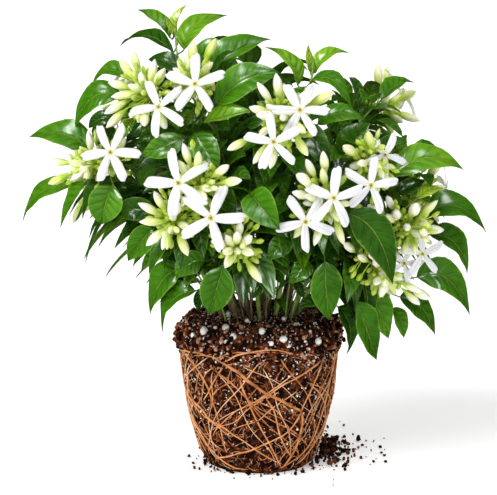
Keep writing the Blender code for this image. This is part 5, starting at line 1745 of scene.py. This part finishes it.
def dress_main_roots(finishes):
    """The big roots, bent a little at random. Each narrows and sinks in where it ends."""
    skin = Skin()
    for number, path in enumerate(main_roots()):
        place = np.array(smooth_path(path, 5 * len(path)))
        place = place + np.array((0, 0, 1)) * grain(place, 8 * MM, 5)[:, None] * 0.8 * MM
        out = units(place * (1, 1, 0))
        rim = 0.62 + 0.5 * grain(place, 16 * MM, 8)
        inset = np.clip(rim, 0.1, 1) if number == 0 else ends_in(len(place), 0.07)
        thick, thin, tone = THICKEST_ROOT if number == 1 else MAIN_ROOT
        radii = np.linspace(thick, thin, len(place)) * (1 + 0.2 * grain(place, 5 * MM, 6))
        radii = radii * (0.25 + 0.75 * inset) * MM
        place = place - out * (0.4 * MM + 1.6 * MM * (1 - inset))[:, None]
        skin.add(tube_rings(place, radii, out, 7), tone=tone, chance=0.5)
    skin.piece("main_roots", finishes, "root", "root_net")


def long_roots(draw):
    """Long thin roots, which run straight on the ball's side unrolled.

    Bearing and height change evenly, and a slow wave is added to both.
    """
    share, many = np.linspace(0, 1, LONG_ROOT_POINTS)[None], (LONG_ROOTS, 1)
    slant = np.where(draw.random(many) < 0.5, 1, -1)
    start, high = spread(draw, many, 0, TAU), spread(draw, many, 56, 34) * MM
    low = spread(draw, many, 4, 40, 1.5) * MM
    sweep = slant * spread(draw, many, 0.15, 1.3)
    phases = spread(draw, (2, *many), 0, TAU)
    height = high + (low - high) * share + 1.6 * MM * np.sin(TAU * 1.3 * share + phases[0])
    bearing = start + sweep * share + 0.03 * np.sin(TAU * 1.7 * share + phases[1])
    inset = ends_in(LONG_ROOT_POINTS, 0.08)
    lift = spread(draw, many, 0.5, 0.8) * MM - 1.4 * MM * (1 - inset)
    path, out = hugging_paths(bearing, np.clip(height, 2 * MM, 92 * MM), lift)
    radii = spread(draw, many, 0.24, 0.26) * MM * (1.15 - 0.5 * share) * (0.3 + 0.7 * inset)
    return tube_rings(path, radii, out, 5)


def fibres(draw):
    """Short hair roots that curl any way on the ball's side."""
    share, many = np.linspace(0, 1, FIBRE_POINTS)[None], (FIBRES, 1)
    start, high = spread(draw, many, 0, TAU), spread(draw, many, 3, 88) * MM
    turn, length = spread(draw, many, 0, TAU), spread(draw, many, 3, 9, 1.5) * MM
    turn = turn + (draw.random(many) - 0.5) * 1.5 * share
    bearing = start + length / (50 * MM) * np.cos(turn) * share
    height = np.clip(high + length * np.sin(turn) * share, 2 * MM, 94 * MM)
    path, out = hugging_paths(bearing, height, spread(draw, many, 0.1, 1) * MM + 0 * share)
    radii = spread(draw, many, 0.1, 0.12) * MM * (1.2 - 0.7 * share)
    return tube_rings(path, radii, out, 3)


def dress_fine_roots(finishes):
    """The long thin roots and the hair roots."""
    draw = np.random.default_rng(41)
    skin = Skin()
    skin.add(long_roots(draw), tone=spread(draw, LONG_ROOTS, 0.3, 0.6),
             chance=draw.random(LONG_ROOTS))
    skin.add(fibres(draw), tone=spread(draw, FIBRES, 0.4, 0.5), chance=draw.random(FIBRES))
    skin.piece("fine_roots", finishes, "root")


# Crumbs on the floor: how many lie in the pile, past it and round the foot, the middle and the
# spread of the pile and of its heap, and how close to the ball they come
PILE_CRUMBS, FAR_CRUMBS, FOOT_CRUMBS = 300, 70, 130
PILE_MIDDLE, PILE_SPREAD = (0.049, 0.022), (0.007, 0.02)
HEAP_MIDDLE, HEAP_SPREAD, HEAP_HEIGHT = (0.047, 0.02), (0.009, 0.022), 6 * MM
CRUMBS_FROM = 38 * MM


def dress_crumbs(finishes):
    """Crumbs of soil that fell round the foot: a pile on the right and a thin scatter."""
    draw = np.random.default_rng(51)
    pile = [draw.normal(middle, wide, PILE_CRUMBS)
            for middle, wide in zip(PILE_MIDDLE, PILE_SPREAD)]
    far = [spread(draw, FAR_CRUMBS, 0.05, 0.042, 1.5),
           draw.normal(PILE_MIDDLE[1], 0.03, FAR_CRUMBS)]
    turn = spread(draw, FOOT_CRUMBS, 0, TAU)
    out = spread(draw, FOOT_CRUMBS, 0.039, 0.014, 1.8)
    flat = np.hstack([pile, far, [out * np.cos(turn), out * np.sin(turn)]]).T
    radii = spread(draw, len(flat), 0.5, 1.5, 2.4) * MM
    clear = np.linalg.norm(flat, axis=1) > CRUMBS_FROM
    flat, radii = flat[clear], radii[clear]
    heap = np.exp(-(np.linalg.norm((flat - HEAP_MIDDLE) / HEAP_SPREAD, axis=1) ** 2))
    rings = clods(np.column_stack([flat, radii * 0]), radii, draw)
    height = heap * HEAP_HEIGHT * draw.random(len(flat)) - rings[..., 2].min(axis=(1, 2))
    rings[..., 2] += height[:, None, None]
    skin = Skin()
    skin.add(rings, chance=0.5 * draw.random(len(radii)))
    skin.piece("fallen_crumbs", finishes, "soil")


# Finishes

class Number:
    """A socket that carries a number. Python's operators on it add Math nodes."""

    def __init__(self, finish, socket):
        self.finish, self.socket = finish, socket

    def math(self, operation, *values):
        return self.finish.node("Math", [self, *values], operation=operation)

    def __add__(self, other):
        return self.math("ADD", other)

    def __sub__(self, other):
        return self.math("SUBTRACT", other)

    def __rsub__(self, other):
        return self.finish.node("Math", [other, self], operation="SUBTRACT")

    def __mul__(self, other):
        return self.math("MULTIPLY", other)

    def __pow__(self, other):
        return self.math("POWER", other)

    __radd__, __rmul__ = __add__, __mul__

    def __abs__(self):
        return self.math("ABSOLUTE")

    def sine(self):
        return self.math("SINE")

    def between(self, low, high):
        """0 below low, 1 above high and a smooth step between."""
        return self.finish.node("MapRange", {"Value": self, "From Min": low, "From Max": high},
                                interpolation_type="SMOOTHSTEP")


class Finish:
    """A material under construction, on its Principled BSDF."""

    def __init__(self, name, **constants):
        self.material = bpy.data.materials.new(name)
        self.material.use_nodes = True
        self.tree = self.material.node_tree
        self.shader = self.tree.nodes["Principled BSDF"]
        for socket, value in constants.items():
            self.shader.inputs[socket.replace("_", " ")].default_value = value

    def node(self, kind, values=(), output=0, **settings):
        """Adds a node: its settings first, then the values or links of its sockets."""
        made = self.tree.nodes.new("ShaderNode" + kind)
        for setting, value in settings.items():
            setattr(made, setting, value)
        pairs = values.items() if isinstance(values, dict) else enumerate(values)
        for socket, value in pairs:
            if isinstance(value, Number):
                self.tree.links.new(value.socket, made.inputs[socket])
            else:
                made.inputs[socket].default_value = value
        return Number(self, made.outputs[output])

    def place(self):
        return self.node("TexCoord", output=3)

    def skin(self):
        """The UV map's two numbers: across and along."""
        uv = self.node("UVMap", uv_map="skin")
        return [self.node("SeparateXYZ", [uv], output=number) for number in (0, 1)]

    def number(self, name):
        return self.node("Attribute", output=2, attribute_name=name)

    def noise(self, scale, detail=2.0, stretch=(1, 1, 1)):
        spot = self.node("Mapping", {"Vector": self.place(), "Scale": stretch})
        return self.node("TexNoise", {"Vector": spot, "Scale": scale, "Detail": detail})

    def mix(self, share, low, high):
        """A colour between two, each a link or three numbers."""
        low, high = (c if isinstance(c, Number) else (*c, 1) for c in (low, high))
        return self.node("Mix", {0: share, 6: low, 7: high}, output=2, data_type="RGBA")

    def bump(self, height, depth, strength=1.0):
        return self.node("Bump", {"Height": height, "Distance": depth, "Strength": strength})

    def done(self, **links):
        for socket, value in links.items():
            self.tree.links.new(value.socket, self.shader.inputs[socket.replace("_", " ")])
        return self.material


LEAF_DARK, LEAF_MIDDLE = (0.012, 0.068, 0.0007), (0.057, 0.212, 0.003)
LEAF_BRIGHT, LEAF_LIME = (0.19, 0.43, 0.01), (0.46, 0.66, 0.045)
VEINS = 6.0


def leaf_finish(name, under):
    """A leaf's face or underside: tone by leaf, paler veins, a blade quilted between them, painted
    shade on the quilting and a painted highlight along the margins.
    """
    finish = Finish(name, Coat_Weight=0.0, Coat_Roughness=0.22, Specular_IOR_Level=0.08)
    across, along = finish.skin()
    tone, chance = finish.number("tone"), finish.number("chance")
    aside = abs(across * 2 - 1)
    mottle, patches = finish.noise(160.0, 3.0), finish.noise(38.0)
    wave = abs(((along * VEINS - aside * 1.2 + mottle * 0.2 + chance) * math.pi).sine())
    rib, vein = aside.between(0.0, 0.1), wave.between(0.0, 0.22)
    # wave x 0.06 is painted shade: a little lighter on the bulges between the veins, darker in the
    # vein valleys
    shade = tone + (patches - 0.5) * 0.5 + (mottle - 0.5) * 0.2 + wave * 0.06
    deep = finish.mix(shade.between(0.05, 0.55), LEAF_DARK, LEAF_MIDDLE)
    green = finish.mix(shade.between(0.45, 0.85), deep, LEAF_BRIGHT)
    green = finish.mix(shade.between(0.78, 1.1), green, LEAF_LIME)
    height = wave ** 0.7 * (1 - aside * aside * 0.7) * rib
    gloss = 0.3 + (patches - 0.5) * 0.2 + (1 - vein) * 0.06
    if under:
        green = finish.mix(0.4, green, (0.15, 0.3, 0.03))
        height, gloss = 1 - height, gloss + 0.3
    pale = finish.mix(0.16, green, (0.32, 0.52, 0.05))
    colour = finish.mix(vein, pale, green)
    colour = finish.mix(aside.between(0.012, 0.045), finish.mix(0.4, green, (0.36, 0.54, 0.08)),
                        colour)
    # Painted highlight: a lighter green line along the margins, where light catches the edge
    colour = finish.mix(aside.between(0.9, 0.99) * 0.3, colour, (0.4, 0.6, 0.1))
    normal = finish.bump(height + mottle * 0.1, 1.5 * MM, 0.85)
    if under:
        return finish.done(Base_Color=colour, Roughness=gloss, Normal=normal)
    varnish = 0.3 + patches.between(0.3, 0.7) * 0.45 + wave * 0.15
    return finish.done(Base_Color=colour, Roughness=gloss, Normal=normal, Coat_Weight=varnish)


def stem_finish():
    """Green young wood that turns brown and barky near the soil."""
    finish = Finish("stem_bark")
    _, along = finish.skin()
    streaks, blotches = finish.noise(420.0, 3.0, (1, 1, 0.2)), finish.noise(60.0)
    up = (along + (blotches - 0.5) * 0.3 + (finish.number("chance") - 0.4) * 0.8).between(0.1, 0.45)
    green = finish.mix(streaks.between(0.3, 0.7), (0.12, 0.25, 0.02), (0.3, 0.44, 0.07))
    brown = finish.mix(streaks.between(0.3, 0.7), (0.08, 0.04, 0.018), (0.28, 0.16, 0.07))
    return finish.done(Base_Color=finish.mix(up, brown, green), Roughness=0.75 - up * 0.25,
                       Normal=finish.bump(streaks, 0.5 * MM, 0.7))


def bud_finish():
    """Buds: lime pedicel and cup, then lime to cream to white with the bud's ripeness."""
    finish = Finish("bud_skin", Specular_IOR_Level=0.25, Subsurface_Weight=0.15,
                    Subsurface_Scale=2 * MM, Subsurface_Radius=(1.0, 1.0, 0.6))
    across, along = finish.skin()
    tone, chance = finish.number("tone"), finish.number("chance")
    mottle = finish.noise(160.0)
    lime = finish.mix(mottle.between(0.3, 0.7), (0.36, 0.55, 0.03), (0.62, 0.75, 0.1))
    cream = finish.mix(chance, (0.8, 0.85, 0.33), (0.94, 0.93, 0.62))
    ripe = (along + tone * 0.4 - 0.58 + (mottle - 0.5) * 0.12).between(0.0, 0.42)
    body = finish.mix(ripe * tone.between(0.1, 0.6), lime, cream)
    white = (along + tone * 0.5 - 0.68 + chance * 0.2).between(0.3, 0.75)
    body = finish.mix(white * tone.between(0.3, 0.9), body, (0.95, 0.94, 0.85))
    cup = along.between(0.22, 0.27)
    furrow = abs(((across * 5 + along * 1.6) * math.pi).sine())
    height = furrow ** 0.5 * cup
    return finish.done(Base_Color=finish.mix(cup, lime, body), Roughness=0.42 + mottle * 0.12,
                       Normal=finish.bump(height, 0.35 * MM, 0.8))


def petal_finish():
    """White petals with painted grey-blue shade along their vein lines and down each petal's middle
    crease, and lime at the very base.
    """
    finish = Finish("petal_skin", Subsurface_Weight=0.12, Subsurface_Scale=2 * MM,
                    Subsurface_Radius=(1.0, 1.0, 0.9), Specular_IOR_Level=0.3)
    across, along = finish.skin()
    mottle = finish.noise(130.0)
    lines = abs(((across * 9 + mottle * 0.4) * math.pi).sine())
    # Painted shade: a faint grey-blue along the vein lines, which also make the bump
    white = finish.mix(lines * 0.5 + mottle * 0.3, (0.82, 0.82, 0.87), (0.91, 0.91, 0.9))
    # Painted shade: grey-blue down the middle crease of each petal, where its groove lies
    painted_crease_shade = abs(across * 2 - 1 + (mottle - 0.5) * 0.2).between(0.0, 0.45)
    white = finish.mix(painted_crease_shade * 0.6 + 0.4, (0.7, 0.7, 0.79), white)
    base = along.between(0.02, 0.13)
    colour = finish.mix(base, (0.84, 0.84, 0.56), white)
    return finish.done(Base_Color=colour, Roughness=0.5 + mottle * 0.1,
                       Normal=finish.bump(lines, 0.22 * MM, 0.6))


def throat_finish():
    """The yellow-green ring round a flower's throat, darkened towards the hole with painted shade.
    """
    finish = Finish("throat_ring", Roughness=0.5)
    _, along = finish.skin()
    ring_part = finish.mix(along.between(0.35, 0.6), (0.84, 0.8, 0.45), (0.6, 0.54, 0.14))
    # Painted shade: olive-brown where the ring turns down into the opening of the tube
    return finish.done(Base_Color=finish.mix(along.between(0.68, 0.84), ring_part,
                                             (0.3, 0.24, 0.035)))


def root_finish():
    """Orange-brown roots, paler where they are fine."""
    finish = Finish("root_skin", Specular_IOR_Level=0.12)
    tone = finish.number("tone")
    mottle = finish.noise(140.0, 3.0)
    shade = tone + (mottle - 0.5) * 0.9
    colour = finish.mix(shade.between(0.05, 0.6), (0.16, 0.035, 0.008), (0.68, 0.27, 0.09))
    colour = finish.mix(shade.between(0.5, 1.0), colour, (0.86, 0.56, 0.36))
    return finish.done(Base_Color=colour, Roughness=0.62 + mottle * 0.1,
                       Normal=finish.bump(finish.noise(900.0, 3.0), 0.3 * MM, 0.6))


def soil_finish():
    """Moist dark soil: near black with red-brown fibres."""
    finish = Finish("moist_soil", Specular_IOR_Level=0.06)
    chance = finish.number("chance")
    coarse, fine = finish.noise(180.0, 4.0), finish.noise(900.0, 4.0)
    red = ((coarse - 0.5) * 1.4 + chance * 0.8 + fine * 0.3).between(0.3, 0.9)
    colour = finish.mix(red, (0.014, 0.003, 0.001), (0.36, 0.095, 0.032))
    chip = (chance + (fine - 0.5) * 0.25).between(0.62, 0.75)
    colour = finish.mix(chip, colour, (0.6, 0.31, 0.2))
    chip = (chance + (fine - 0.5) * 0.2).between(0.79, 0.86)
    colour = finish.mix(chip, colour, (0.9, 0.78, 0.72))
    return finish.done(Base_Color=colour, Roughness=0.6 + fine * 0.25,
                       Normal=finish.bump(fine + coarse, 1.2 * MM, 1.0))


def perlite_finish():
    """Chalky white beads, a little dusty with soil."""
    finish = Finish("perlite_bead")
    dust = finish.noise(500.0, 3.0)
    colour = finish.mix(dust.between(0.45, 0.8), (0.95, 0.92, 0.9), (0.62, 0.5, 0.44))
    return finish.done(Base_Color=colour, Roughness=0.8 + dust * 0.1,
                       Normal=finish.bump(dust, 0.5 * MM, 0.7))


def floor_finish():
    finish = Finish("pale_floor", Emission_Color=(1, 1, 1, 1), Emission_Strength=0.3)
    haze = finish.noise(3.0)
    return finish.done(Base_Color=finish.mix(haze, (0.9, 0.9, 0.9), (0.92, 0.92, 0.92)),
                       Roughness=0.7 + haze * 0.1)


# The studio

# Even lights from far off: the way each comes from, how many degrees wide it looks and its
# strength. The glints are seen in gloss alone, and the others give the shading.
SUNS = {
    "key": ((-0.6, -0.6, 0.75), 38, 2.5),
    "fill": ((0.7, -0.25, 0.6), 40, 0.6),
    "crown": ((0.1, 0.5, 0.9), 40, 0.7),
    "front": ((0.1, -1.0, 0.15), 50, 0.45),
    "glint": ((-0.4, -0.45, 0.8), 22, 3.3),
    "second_glint": ((0.5, -0.4, 0.75), 22, 1.8),
    "low_glint": ((-0.15, -0.9, 0.4), 16, 1.5),
    "side_glint": ((0.5, -0.85, 0.3), 18, 1.6),
}


def studio():
    """A pale floor, soft light from all round with a stronger one in front, and the camera."""
    mesh = bpy.data.meshes.new("floor")
    mesh.from_pydata([(-9, -9, 0), (9, -9, 0), (9, 9, 0), (-9, 9, 0)], [], [(0, 1, 2, 3)])
    mesh.materials.append(floor_finish())
    floor = add_object("floor", mesh)
    floor.visible_glossy = False
    world = bpy.data.worlds.new("studio")
    bpy.context.scene.world = world
    world.use_nodes = True
    world.node_tree.nodes["Background"].inputs["Color"].default_value = (1, 1, 1, 1)
    world.node_tree.nodes["Background"].inputs["Strength"].default_value = 0.3
    world.cycles_visibility.glossy = False
    bpy.context.scene.view_settings.view_transform = "Standard"
    for name, (way, width, strength) in SUNS.items():
        lamp = bpy.data.lights.new(name, "SUN")
        lamp.angle, lamp.energy = math.radians(width), strength
        made = add_object(name, lamp)
        made.visible_glossy = "glint" in name
        made.visible_diffuse = not made.visible_glossy
        made.rotation_euler = Vector(way).to_track_quat("Z", "Y").to_euler()
    lens = bpy.data.cameras.new("camera")
    lens.sensor_width = 36
    lens.lens = 36 * CAMERA_DISTANCE / (PICTURE_WIDTH_PX * PIXEL)
    camera = add_object("camera", lens)
    camera.location = AIM + SIGHT * CAMERA_DISTANCE
    camera.rotation_euler = (-SIGHT).to_track_quat("-Z", "Y").to_euler()
    bpy.context.scene.camera = camera


def main():
    plant = Plant()
    leaf_slots = [leaf_finish("leaf_face", False), leaf_finish("leaf_underside", True),
                  stem_finish()]
    buds, petals, throat = bud_finish(), petal_finish(), throat_finish()
    soil, perlite, roots = soil_finish(), perlite_finish(), root_finish()
    for stem in plant.stems.values():
        dress_stem(plant, stem, leaf_slots)
        if stem.has_spray:
            dress_spray(plant, stem, [buds])
    for flower in plant.flowers:
        dress_bloom(flower, [petals, throat])
    dress_twigs(plant, leaf_slots)
    dress_soil([soil])
    draw = np.random.default_rng(31)
    dress_clods([soil], draw)
    dress_perlite([perlite], draw)
    dress_main_roots([roots])
    dress_fine_roots([roots])
    dress_crumbs([soil])
    studio()


main()
